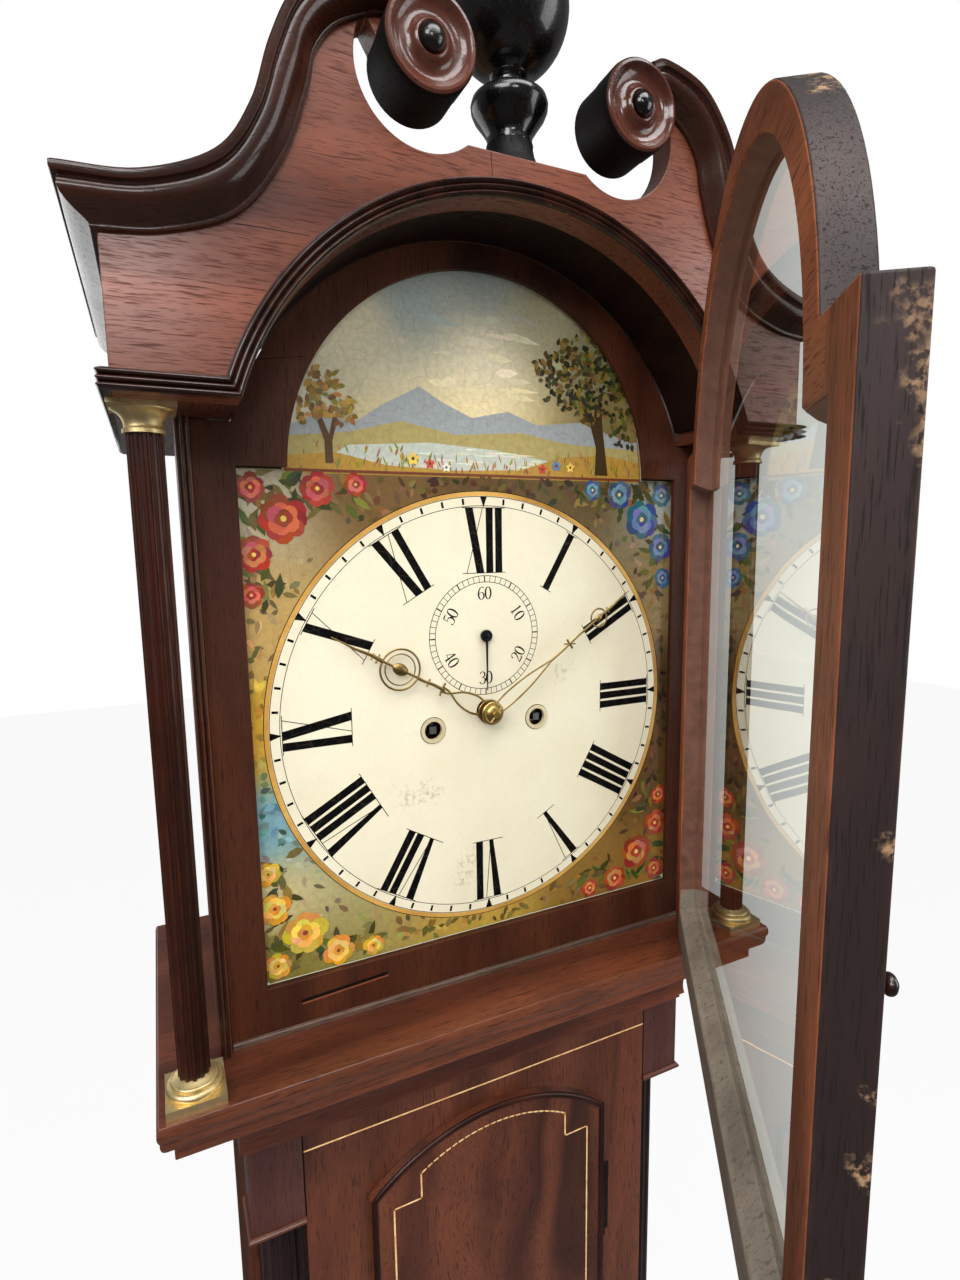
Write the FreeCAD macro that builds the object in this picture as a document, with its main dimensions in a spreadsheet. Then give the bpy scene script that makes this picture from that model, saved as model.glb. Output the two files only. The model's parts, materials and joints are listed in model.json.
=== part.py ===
import FreeCAD, Part
import math
import os
import re
from types import SimpleNamespace
from FreeCAD import Placement, Rotation, Vector

# Longcase clock with a swan-neck pediment, a break-arch painted dial and an eight-day striking movement.
# Millimetres, X to the right, Y to the back, Z up. The origin is on the floor, in the middle of the plinth.
# Outlines are drawn from the centre of the dial's front face, and every piece is placed from that point.

doc = FreeCAD.newDocument("LongcaseClock")
sheet = doc.addObject("Spreadsheet::Sheet", "Sizes")

sizes = {
    # the dial's place in the case
    "dial_height": 1590,
    "case_depth": 230,
    "dial_to_wall": 180,
    # boards
    "side_board": 16,
    "cheek_board": 16,
    "cheek_lap": 100,
    "front_board": 18,
    "back_board": 12,
    "touch_gap": 0.3,
    "pivot_gap": 0.06,
    # base and plinth
    "base_overhang": 34,
    "base_height": 540,
    "base_reach": 38,
    "plinth_height": 95,
    "plinth_step": 12,
    "floor_board_height": 40,
    "waist_height": 50,
    "wall_screw_radius": 3.5,
    "wall_screw_x": 60,
    "wall_screw_drop": 470,
    # trunk
    "trunk_width": 372,
    "trunk_reach": 2,
    "corner_recess": 37,
    "corner_block_height": 70,
    "corner_column_radius": 31,
    "throat_top": 224,
    "throat_height": 63,
    "throat_spread": 42,
    # trunk door
    "trunk_door_width": 207,
    "trunk_door_shoulder": 357,
    "trunk_door_rise": 40,
    "trunk_door_clear": 15,
    "trunk_door_lip": 7,
    "trunk_door_lip_proud": 6,
    "trunk_door_board": 18,
    "hinge_knuckle_radius": 2.6,
    "hinge_length": 67,
    "hinge_top": 422,
    # hood box
    "hood_base_top": 203.5,
    "hood_base_height": 20,
    "ledge_overhang": 50,
    "hood_base_reach": 56,
    "hood_back": 176,
    "door_play": 2,
    "hood_panel": 11,
    "soffit_height": 196,
    "soffit_board": 10,
    "frieze_overhang": 41,
    "frieze_reach": 69,
    "frieze_board": 18,
    "frieze_top": 286,
    "hill_height": 342,
    "roof_board": 8,
    "arch_radius": 176,
    "arch_centre": 143,
    "reeding_width": 10,
    "reeding_proud": 4,
    "reeding_return": 6,
    # scrolls, paterae and finial
    "neck_proud": 15,
    "neck_overhang": 16,
    "patera_x": 66.5,
    "patera_z": 377.5,
    "patera_radius": 25,
    "patera_proud": 17,
    "void_radius": 39,
    "finial_setback": 44,
    "finial_base": 360,
    "finial_ball_radius": 36,
    # dial mask and columns
    "mask_reach": 6.5,
    "mask_board": 4,
    "mask_opening_width": 332,
    "mask_opening_height": 338,
    "mask_arch_radius": 136,
    "mask_arch_centre": 166.5,
    "jamb_width": 7.5,
    "jamb_reach": 14,
    "column_offset": 28,
    "column_reach": 35,
    "column_radius": 9.2,
    "capital_half": 16.5,
    "column_base_half": 16.8,
    "column_flutes": 12,
    "capital_height": 15,
    "column_base_height": 14,
    # hood door
    "door_overlap": 3,
    "door_board": 17,
    "door_reach": 25,
    "door_pivot_reach": 37,
    "door_foot": 199.5,
    "door_shoulder": 185,
    "door_arch_radius": 157,
    "door_arch_centre": 157,
    "door_stile": 26,
    "door_rail": 27.5,
    "door_arch_rail": 21,
    "door_rebate": 4,
    "door_bead": 3,
    "door_open": 54.3,
    "glass": 2.4,
    "pivot_radius": 2.5,
    "pivot_plate": 2.5,
    "pivot_reach": 8,
    "knob_radius": 3.4,
    "knob_drop": 8.4,
    # dial and hands
    "dial_width": 340,
    "dial_plate": 2,
    "dial_arch_radius": 138,
    "winding_x": 42.3,
    "winding_drop": 10,
    "winding_hole": 6.6,
    "collet_radius": 9.2,
    "seconds_height": 55.5,
    "minute_hand_angle": 55,
    "hour_hand_angle": -61,
    "hand_thickness": 1,
    "hour_hand_length": 130,
    "minute_hand_length": 146,
    # movement frame
    "plate": 3,
    "plate_front": 38,
    "plate_gap": 60,
    "plate_width": 136,
    "plate_foot": 70,
    "plate_top": 105,
    "pillar_radius": 5,
    "seatboard": 20,
    "seatboard_front": 25,
    "seatboard_back": 110,
    # trains
    "great_teeth": 96,
    "centre_teeth": 60,
    "third_teeth": 56,
    "escape_teeth": 30,
    "strike_great_teeth": 78,
    "pin_teeth": 64,
    "gathering_teeth": 56,
    "cannon_teeth": 30,
    "hour_teeth": 72,
    "centre_leaves": 8,
    "third_leaves": 8,
    "escape_leaves": 7,
    "motion_leaves": 6,
    "centre_module": 0.9,
    "third_module": 0.95,
    "pin_module": 0.8,
    "gathering_module": 0.75,
    "cannon_module": 0.78,
    "wheel_thickness": 1.6,
    "great_thickness": 3,
    "barrel_radius": 22,
    "escape_radius": 20.5,
    "anchor_rise": 29,
    # pendulum, weights and lines
    "pendulum_length": 994,
    "pendulum_back": 120,
    "rod_radius": 3,
    "bob_radius": 55,
    "bob_thickness": 26,
    "weight_radius": 30,
    "weight_height": 190,
    "weight_clear": 150,
    "sheave_radius": 14,
    "line_radius": 0.9,
    "line_back": 65,
    # bell
    "bell_radius": 40,
    "bell_x": -34,
    "bell_mouth": 132,
}

for row, (alias, number) in enumerate(sizes.items(), start=1):
    sheet.set(f"A{row}", alias)
    sheet.set(f"B{row}", str(number))
    sheet.setAlias(f"B{row}", alias)
doc.recompute()
s = SimpleNamespace(**{alias: float(sheet.get(alias)) for alias in sizes})

# widths and places that follow from the trunk's width and the dial's height
derived = {
    "base_width": "trunk_width + 2 * base_overhang",
    "hood_panel_width": "trunk_width + 2 * door_overlap + 2 * door_play",
    "frieze_width": "trunk_width + 2 * frieze_overhang",
    "hood_base_width": "trunk_width + 2 * ledge_overhang",
    "column_x": "trunk_width / 2 + column_offset",
    "door_width": "trunk_width + 2 * door_overlap",
    "trunk_door_foot": "dial_height - base_height - waist_height - trunk_door_clear",
}
s.base_width = s.trunk_width + 2 * s.base_overhang
s.hood_panel_width = s.trunk_width + 2 * s.door_overlap + 2 * s.door_play
s.frieze_width = s.trunk_width + 2 * s.frieze_overhang
s.hood_base_width = s.trunk_width + 2 * s.ledge_overhang
s.column_x = s.trunk_width / 2 + s.column_offset
s.door_width = s.trunk_width + 2 * s.door_overlap
s.trunk_door_foot = s.dial_height - s.base_height - s.waist_height - s.trunk_door_clear

nodes = []
dial_y_text = "case_depth / 2 - dial_to_wall"
dial_point = Vector(0, s.case_depth / 2 - s.dial_to_wall, s.dial_height)
floor_z = -s.dial_height
wall_y = s.dial_to_wall
back_face = wall_y - s.back_board
facing_front = Rotation(Vector(1, 0, 0), 90)


def linked(text):
    """A formula with every size spelled as its cell, and every derived size as its own formula."""
    return re.sub(r"[a-z_]+", lambda found: spelled(found.group()), text)


def spelled(word):
    if word in derived:
        return f"({linked(derived[word])})"
    return f"Sizes.{word}" if word in sizes else word


def bind(obj, **texts):
    """Bind properties to formulas that use the sheet's names."""
    for prop, text in texts.items():
        obj.setExpression(prop.replace("__", "."), linked(text))
    return obj


def place(obj, x="0", y="0", z="0"):
    """Place an object by formulas counted from the dial's centre."""
    return bind(
        obj,
        Placement__Base__x=x,
        Placement__Base__y=f"{dial_y_text} + ({y})",
        Placement__Base__z=f"dial_height + ({z})",
    )


def keep(obj, label):
    """Name an object as one of the clock's sub-parts."""
    obj.Label = label
    nodes.append(obj)
    return obj


def board(name, x, y, z):
    """A board between pairs of formulas for its low and high sides."""
    box = doc.addObject("Part::Box", name)
    bind(
        box,
        Length=f"({x[1]}) - ({x[0]})",
        Width=f"({y[1]}) - ({y[0]})",
        Height=f"({z[1]}) - ({z[0]})",
    )
    return place(box, x[0], y[0], z[0])


def board_pair(name, x, y, z):
    """The same board on the right and on the left of the clock."""
    left = (f"-({x[1]})", f"-({x[0]})")
    return [board(name + "_right", x, y, z), board(name + "_left", left, y, z)]


def group(label, pieces):
    """Several separate solids under one name."""
    compound = doc.addObject("Part::Compound", label)
    compound.Links = pieces
    return keep(compound, label)


def fused(name, pieces):
    fuse = doc.addObject("Part::MultiFuse", name)
    fuse.Shapes = pieces
    return fuse


def cut(name, base, tool):
    result = doc.addObject("Part::Cut", name)
    result.Base = base
    result.Tool = tool
    return result


def solid_piece(label, shape):
    """A piece whose shape is built from the sheet's values, placed at the dial's centre."""
    piece = doc.addObject("Part::Feature", label)
    piece.Shape = shape
    piece.Placement = Placement(dial_point, Rotation())
    return keep(piece, label)


def edge_of(points):
    """A line through two points, an arc through three, a smooth curve through more."""
    flat = [Vector(p[0], p[1], 0) for p in points]
    if len(flat) == 2:
        return Part.LineSegment(*flat)
    if len(flat) == 3:
        return Part.Arc(*flat)
    curve = Part.BSplineCurve()
    curve.interpolate(flat)
    return curve


def outline(start, *steps):
    """A closed outline. A step is a point for a line, or a list of points for an arc or curve."""
    runs = []
    here = start
    for step in steps + (start,):
        run = [here] + (step if isinstance(step, list) else [step])
        here = run[-1]
        if math.dist(run[0], run[-1]) > 1e-6:
            runs.append(run)
    return [edge_of(run) for run in runs]


def symmetric(*half):
    """A closed outline from its right half, listed from the bottom up."""
    runs = []
    here = half[0]
    for step in half[1:]:
        run = [here] + (step if isinstance(step, list) else [step])
        here = run[-1]
        runs.append(run)
    mirrored = [[(-p[0], p[1]) for p in reversed(run)] for run in reversed(runs)]
    ends = [[here, (-here[0], here[1])], [(-half[0][0], half[0][1]), half[0]]]
    runs = runs + [ends[0]] + mirrored + [ends[1]]
    return [edge_of(run) for run in runs if math.dist(run[0], run[-1]) > 1e-6]


def circle(x, z, radius):
    return [Part.Circle(Vector(x, z, 0), Vector(0, 0, 1), radius)]


def arch_half(radius, centre, level):
    """Half the chord of an arch at a level."""
    return math.sqrt(radius ** 2 - (level - centre) ** 2)


def arch_step(radius, centre, level):
    """The right half of an arch, from a level up to its crown, as one arc."""
    start = math.atan2(level - centre, arch_half(radius, centre, level))
    middle = (start + math.pi / 2) / 2
    return [(radius * math.cos(middle), centre + radius * math.sin(middle)), (0, centre + radius)]


def plane_of(body, role):
    return next(feature for feature in body.Origin.OriginFeatures if feature.Role == role)


def sketch_in(body, name, edges, role="XZ_Plane", offset="0"):
    sketch = body.newObject("Sketcher::SketchObject", name)
    sketch.AttachmentSupport = (plane_of(body, role), [""])
    sketch.MapMode = "FlatFace"
    bind(sketch, AttachmentOffset__Base__z=offset)
    sketch.addGeometry(edges, False)
    return sketch


def add_pad(body, name, edges, offset, length, role="XZ_Plane"):
    """A padded outline. On the XZ plane the offset and the pad run towards the front."""
    sketch = sketch_in(body, name + "_outline", edges, role, offset)
    pad = body.newObject("PartDesign::Pad", name)
    pad.Profile = sketch
    bind(pad, Length=length)
    body.Tip = pad
    return pad


def panel(name, edges, front, thickness):
    """A flat panel whose front face lies a given reach ahead of the dial."""
    body = doc.addObject("PartDesign::Body", name)
    add_pad(body, name + "_pad", edges, f"({front}) - ({thickness})", thickness)
    return place(body)


def turned(name, profile):
    """A turned piece about its own upright axis, from a (radius, height) outline."""
    body = doc.addObject("PartDesign::Body", name)
    sketch = sketch_in(body, name + "_profile", profile)
    revolution = body.newObject("PartDesign::Revolution", name + "_turning")
    revolution.Profile = sketch
    revolution.ReferenceAxis = (sketch, ["V_Axis"])
    revolution.Angle = 360
    body.Tip = revolution
    return body


def moulding(label, half, front, profile, core_half, core_front, bottom, top):
    """A moulding round the front and both sides, mitred at its corners.

    The profile lists (reach, height) steps from the bottom up, outside a half width and a front line.
    """
    def grown(step, to):
        return [to(p) for p in step] if isinstance(step, list) else to(step)

    across = [grown(step, lambda p: (half + p[0], p[1])) for step in profile]
    along = [grown(step, lambda p: (p[0] + front, p[1])) for step in profile]
    low, high = profile[0][1], along[-1][-1][1] if isinstance(along[-1], list) else along[-1][1]
    front_view = doc.addObject("PartDesign::Body", label + "_front_view")
    add_pad(front_view, label + "_across", symmetric(*across), "-dial_to_wall", "4 * case_depth")
    side_view = doc.addObject("PartDesign::Body", label + "_side_view")
    deep = [(-wall_y, low)] + along + [(-wall_y, high)]
    turned_round = [[(-p[0], p[1]) for p in step] if isinstance(step, list) else (-step[0], step[1])
                    for step in deep]
    add_pad(side_view, label + "_along", outline(*turned_round), "-base_width", "2 * base_width", "YZ_Plane")
    common = doc.addObject("Part::MultiCommon", label + "_block")
    common.Shapes = [place(front_view), place(side_view)]
    core_x = (f"-({core_half})", core_half)
    core = board(label + "_core", core_x, (core_front, "dial_to_wall + 1"), (bottom, top))
    return cut(label + "_hollowed", common, core)


def cylinder_y(x, z, radius, y0, y1):
    """A round bar along Y."""
    return Part.makeCylinder(radius, y1 - y0, Vector(x, y0, z), Vector(0, 1, 0))


def slab(points, y0, y1):
    """A flat piece from corner points in the dial's plane."""
    corners = [Vector(x, y0, z) for x, z in points]
    return Part.Face(Part.makePolygon(corners + corners[:1])).extrude(Vector(0, y1 - y0, 0))


def fuse_all(shapes):
    return shapes[0].multiFuse(shapes[1:]).removeSplitter()


# Base and plinth
base_half = "base_width / 2"
floor_text = "-dial_height"
base_top_text = "base_height - dial_height"


def make_base():
    front = board(
        "base_panel_board",
        (f"-{base_half}", base_half),
        ("-base_reach", "front_board - base_reach"),
        (floor_text, base_top_text),
    )
    keep(front, "base_panel")
    sides = board_pair(
        "base_side",
        ("base_width / 2 - side_board", base_half),
        ("front_board - base_reach", "dial_to_wall - back_board"),
        (floor_text, base_top_text),
    )
    floor_board = board(
        "floor_board_plank",
        ("side_board - base_width / 2", "base_width / 2 - side_board"),
        ("front_board - base_reach", "dial_to_wall - back_board"),
        (f"{floor_text} + floor_board_height", f"{floor_text} + floor_board_height + side_board"),
    )
    group("base_boards", sides + [floor_board])
    step = s.plinth_step
    top = floor_z + s.plinth_height
    profile = [
        (0, floor_z),
        (step, floor_z),
        (step, top - 1.2 * step),
        [(step * 0.35, top - 0.85 * step), (0.18 * step, top)],
        (0, top),
    ]
    skirting = moulding("plinth", s.base_width / 2, s.base_reach, profile, base_half, "-base_reach",
                        f"{floor_text} - 1", f"{floor_text} + plinth_height + 1")
    keep(skirting, "plinth_skirting")
    low = floor_z + s.base_height
    spread = (s.base_width - s.trunk_width) / 2
    rise = s.waist_height
    waist = [
        (0, low),
        (spread, low),
        (spread, low + 0.16 * rise),
        (spread * 0.86, low + 0.22 * rise),
        [(spread * 0.42, low + 0.42 * rise), (spread * 0.18, low + 0.84 * rise)],
        (spread * 0.18, low + rise),
        (0, low + rise),
    ]
    step_in = moulding("waist", s.trunk_width / 2, s.trunk_reach, waist, "trunk_width / 2", "-trunk_reach",
                       f"{base_top_text} - 1", f"{base_top_text} + waist_height + 1")
    keep(step_in, "waist_moulding")


# Trunk
trunk_half = "trunk_width / 2"


def make_trunk():
    half = s.trunk_width / 2
    inner = half - s.corner_recess
    low = floor_z + s.base_height
    opening = s.trunk_door_width / 2 - s.trunk_door_lip
    shoulder = -s.trunk_door_shoulder - s.trunk_door_lip
    radius = (opening ** 2 + s.trunk_door_rise ** 2) / (2 * s.trunk_door_rise)
    crown = shoulder + s.trunk_door_rise
    door_hole = symmetric(
        (opening, -s.trunk_door_foot + s.trunk_door_lip),
        (opening, shoulder),
        arch_step(radius, crown - radius, shoulder),
    )
    front = doc.addObject("PartDesign::Body", "trunk_front_body")
    stiles = symmetric((inner, low), (inner, -s.throat_top), (0, -s.throat_top))
    add_pad(front, "trunk_front_pad", stiles + door_hole, "trunk_reach - front_board", "front_board")
    keep(place(front), "trunk_front")
    sides = board_pair(
        "trunk_side",
        ("trunk_width / 2 - side_board", trunk_half),
        ("corner_recess - trunk_reach", "dial_to_wall - back_board"),
        (base_top_text, "-throat_top"),
    )
    cheeks = board_pair(
        "trunk_cheek",
        ("trunk_width / 2 - side_board - cheek_board", "trunk_width / 2 - side_board"),
        ("corner_recess - trunk_reach", "dial_to_wall - back_board"),
        ("-throat_top - cheek_lap", "-plate_foot - seatboard"),
    )
    group("trunk_sides", sides + cheeks)
    neck = half - s.side_board + s.trunk_door_lip / 2
    back = symmetric(
        (s.base_width / 2, floor_z),
        (s.base_width / 2, low),
        (half, low),
        (half, -s.throat_top),
        (neck, -s.throat_top),
        (neck, s.soffit_height - 3 * s.side_board),
        (0.8 * half, s.soffit_height - s.side_board),
        (0.8 * half, 1.25 * s.soffit_height),
        (0, 1.25 * s.soffit_height),
    )
    screw = circle(s.wall_screw_x, -s.wall_screw_drop, s.wall_screw_radius)
    keep(panel("backboard_plank", back + screw, "back_board - dial_to_wall", "back_board"), "backboard")
    blocks = []
    for name, span in (
        ("upper", ("-throat_top - throat_height - corner_block_height", "-throat_top")),
        ("lower", (base_top_text, f"{base_top_text} + waist_height + corner_block_height")),
    ):
        blocks += board_pair(
            f"corner_block_{name}",
            ("trunk_width / 2 - corner_recess", trunk_half),
            ("-trunk_reach", "corner_recess - trunk_reach"),
            span,
        )
    group("corner_blocks", blocks)
    make_quarter_columns(inner)


def make_quarter_columns(inner):
    """Fluted quarter columns that fill the trunk's front corners between the blocks."""
    radius = s.corner_column_radius
    heart = s.corner_recess - s.trunk_reach
    flutes = 5
    step = math.pi / 2 / flutes

    def polar(r, angle):
        return (r * math.cos(angle), r * math.sin(angle))

    steps = [polar(radius, 0)]
    for i in range(flutes):
        steps.append(polar(radius, (i + 0.15) * step))
        steps.append([polar(0.93 * radius, (i + 0.5) * step), polar(radius, (i + 0.85) * step)])
    steps.append(polar(radius, math.pi / 2))
    section = outline((0, 0), *steps)
    columns = []
    length = ("dial_height - base_height - throat_top - throat_height - waist_height"
              " - 2 * corner_block_height")
    for side, turn in (("right", -90), ("left", 180)):
        body = doc.addObject("PartDesign::Body", f"quarter_column_{side}")
        add_pad(body, f"quarter_column_{side}_pad", section, "0", length, "XY_Plane")
        body.Placement = Placement(Vector(), Rotation(Vector(0, 0, 1), turn))
        sign = "" if side == "right" else "-"
        place(body, f"{sign}(trunk_width / 2 - corner_recess)", f"{heart}",
              f"{base_top_text} + waist_height + corner_block_height")
        columns.append(body)
    group("quarter_columns", columns)


def make_throat():
    top = -s.throat_top
    low = top - s.throat_height
    spread = s.throat_spread
    profile = [
        (0, low),
        (2, low),
        (2, low + 5),
        (5, low + 5),
        [(0.3 * spread, low + 0.58 * s.throat_height), (0.86 * spread, top - 14)],
        (spread, top - 12),
        (spread, top),
        (0, top),
    ]
    cove = moulding("throat", s.trunk_width / 2, s.trunk_reach, profile, trunk_half, "-trunk_reach",
                    "-throat_top - throat_height - 1", "-throat_top + 1")
    keep(cove, "throat_moulding")


def trunk_door_hinge():
    """The trunk door's hinge line, from the dial's centre."""
    return (s.trunk_door_width / 2 + 1, -s.trunk_reach - s.trunk_door_lip_proud / 2)


def make_trunk_door():
    half = s.trunk_door_width / 2
    shoulder = -s.trunk_door_shoulder
    radius = (half ** 2 + s.trunk_door_rise ** 2) / (2 * s.trunk_door_rise)
    crown = shoulder + s.trunk_door_rise
    lip_outline = symmetric(
        (half, -s.trunk_door_foot),
        (half, shoulder),
        arch_step(radius, crown - radius, shoulder),
    )
    inset = s.trunk_door_lip + 1
    inner = half - inset
    inner_radius = (inner ** 2 + s.trunk_door_rise ** 2) / (2 * s.trunk_door_rise)
    inner_shoulder = shoulder - inset
    inner_crown = inner_shoulder + s.trunk_door_rise
    core_outline = symmetric(
        (inner, -s.trunk_door_foot + inset),
        (inner, inner_shoulder),
        arch_step(inner_radius, inner_crown - inner_radius, inner_shoulder),
    )
    door = doc.addObject("PartDesign::Body", "trunk_door_body")
    add_pad(door, "trunk_door_lip_pad", lip_outline, "trunk_reach + touch_gap",
            "trunk_door_lip_proud - touch_gap")
    back = "trunk_reach + trunk_door_lip_proud - trunk_door_board"
    add_pad(door, "trunk_door_core", core_outline, back, "trunk_door_board - trunk_door_lip_proud / 2")
    hinge_x, hinge_y = trunk_door_hinge()
    notches = []
    knuckles = []
    drops = ("hinge_top + hinge_length", "trunk_door_foot - hinge_top + trunk_door_shoulder / 2")
    for place_name, drop in zip(("upper", "lower"), drops):
        notch = doc.addObject("Part::Cylinder", f"hinge_notch_{place_name}")
        bind(notch, Radius="hinge_knuckle_radius + touch_gap", Height="hinge_length + 2 * touch_gap")
        place(notch, f"{hinge_x}", f"{hinge_y}", f"-({drop}) - touch_gap")
        notches.append(notch)
        knuckle = doc.addObject("Part::Cylinder", f"hinge_knuckle_{place_name}")
        bind(knuckle, Radius="hinge_knuckle_radius", Height="hinge_length")
        place(knuckle, f"{hinge_x}", f"{hinge_y}", f"-({drop})")
        leaf = board(
            f"hinge_leaf_{place_name}",
            (f"{hinge_x}", f"{hinge_x} + 3 * hinge_knuckle_radius"),
            ("-trunk_reach - 0.8", "-trunk_reach"),
            (f"-({drop})", f"-({drop}) + hinge_length"),
        )
        knuckles.append(fused(f"hinge_{place_name}", [knuckle, leaf]))
    keep(cut("trunk_door_leaf", place(door), fused("hinge_notches", notches)), "trunk_door")
    group("trunk_door_hinges", knuckles)
    lock_case = board(
        "lock_case",
        ("-trunk_door_width / 2 + trunk_door_lip + 2", "-trunk_door_width / 2 + trunk_door_lip + 42"),
        ("trunk_door_board - trunk_reach - trunk_door_lip_proud", "trunk_door_board + 2"),
        ("-640", "-590"),
    )
    keep(lock_case, "trunk_door_lock")


# Hood
frieze_half = "frieze_width / 2"
door_x_text = "door_width / 2 + 1"


def make_hood_base():
    top = -s.hood_base_top
    low = top - s.hood_base_height
    half = s.frieze_width / 2
    reach = s.hood_base_width / 2 - half
    profile = [
        (0, low + 1.5 * s.touch_gap),
        (reach - 6, low + 1.5 * s.touch_gap),
        [(reach - 2, low + 4), (reach - 1, low + 8)],
        (reach - 1, low + 10),
        [(reach, low + 12.5), (reach - 1, top)],
        (0, top),
    ]
    ledge = moulding("ledge", half, s.hood_base_reach - reach, profile, "trunk_width / 2 - 10", "12",
                     "-hood_base_top - hood_base_height - 1", "-hood_base_top + 1")
    socket = doc.addObject("Part::Cylinder", "hood_base_socket")
    bind(socket, Radius="pivot_radius + pivot_gap", Height="pivot_reach + 4")
    place(socket, door_x_text, "-door_pivot_reach", "-hood_base_top - pivot_reach - 1")
    keep(cut("hood_base_drilled", ledge, socket), "hood_base")


def make_hood_sides():
    panels = board_pair(
        "hood_panel_board",
        ("hood_panel_width / 2 - hood_panel", "hood_panel_width / 2"),
        ("mask_board - mask_reach", "hood_back"),
        ("-hood_base_top", "soffit_height"),
    )
    uppers = board_pair(
        "hood_frieze_side",
        ("frieze_width / 2 - frieze_board", frieze_half),
        ("frieze_board - frieze_reach", "hood_back"),
        ("soffit_height + soffit_board", "frieze_top"),
    )
    jambs = board_pair(
        "hood_jamb",
        ("hood_panel_width / 2", "hood_panel_width / 2 + jamb_width"),
        ("-jamb_reach", "10"),
        ("-hood_base_top", "soffit_height"),
    )
    arch_foot = arch_half(s.arch_radius, s.arch_centre, s.soffit_height)
    soffits = board_pair(
        "soffit_plank",
        (f"{arch_foot}", frieze_half),
        ("frieze_board - frieze_reach", "hood_back"),
        ("soffit_height", "soffit_height + soffit_board"),
    )
    hole = doc.addObject("Part::Cylinder", "soffit_pivot_hole")
    bind(hole, Radius="pivot_radius + pivot_gap", Height="2 * soffit_board")
    place(hole, door_x_text, "-door_pivot_reach", "soffit_height - 1")
    drilled = cut("soffit_right_drilled", soffits[0], hole)
    group("hood_sides", panels + uppers + jambs + [drilled, soffits[1]])


def neck_edges():
    """The scroll's outer and inner edges on the right side, from the corner to the patera."""
    corner = s.frieze_width / 2
    span = corner - s.patera_x
    rise = s.patera_z - s.frieze_top
    outer = [
        (1, 0.0109), (0.8816, 0.0437), (0.676, 0.2077), (0.5701, 0.4699), (0.5078, 0.7869),
        (0.433, 1.0492), (0.3084, 1.2678), (0.134, 1.3552),
    ]
    inner = [
        (1, -0.224), (0.8193, -0.1803), (0.6137, -0.0328), (0.4642, 0.2951), (0.3832, 0.6448),
        (0.352, 0.8634), (0.2897, 1.0164), (0.1838, 1.1148),
    ]
    outer = [(s.patera_x + x * span, s.frieze_top + z * rise) for x, z in outer]
    inner = [(s.patera_x + x * span, s.frieze_top + z * rise) for x, z in inner]
    outer[0] = (corner + s.neck_overhang, outer[0][1])
    return outer, inner


def make_frieze():
    outer, inner = neck_edges()
    foot = arch_half(s.arch_radius, s.arch_centre, s.soffit_height)
    x, z, r = s.patera_x, s.patera_z, s.patera_radius - 0.5
    void_x = x - 2.5
    void_z = z - 5.5
    reach = s.void_radius
    hill = void_x - math.sqrt(reach ** 2 - (void_z - s.hill_height) ** 2)
    slant = reach * math.sqrt(0.5)
    top_run = [(ox, oz - 2) for ox, oz in outer[1:-1]]
    half = [
        (foot, s.soffit_height),
        (s.frieze_width / 2, s.soffit_height),
        (s.frieze_width / 2, s.frieze_top),
        top_run + [(outer[-1][0], outer[-1][1] - 2), (x, z + r)],
        [(x - r, z), (x, z - r)],
        [(x + 0.72 * r, z - 0.69 * r), (x + 0.98 * r, z - 0.2 * r)],
        (void_x + reach, void_z),
        [(void_x + slant, void_z - slant), (void_x, void_z - reach)],
        [(void_x - 0.4 * reach, void_z - 0.9165 * reach), (hill, s.hill_height)],
    ]
    arch = [edge_of([(foot, s.soffit_height), (0, s.arch_centre + s.arch_radius), (-foot, s.soffit_height)])]
    edges = symmetric(*half)[:-1] + arch
    keep(panel("frieze_plank", edges, "frieze_reach", "frieze_board"), "frieze")


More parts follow.
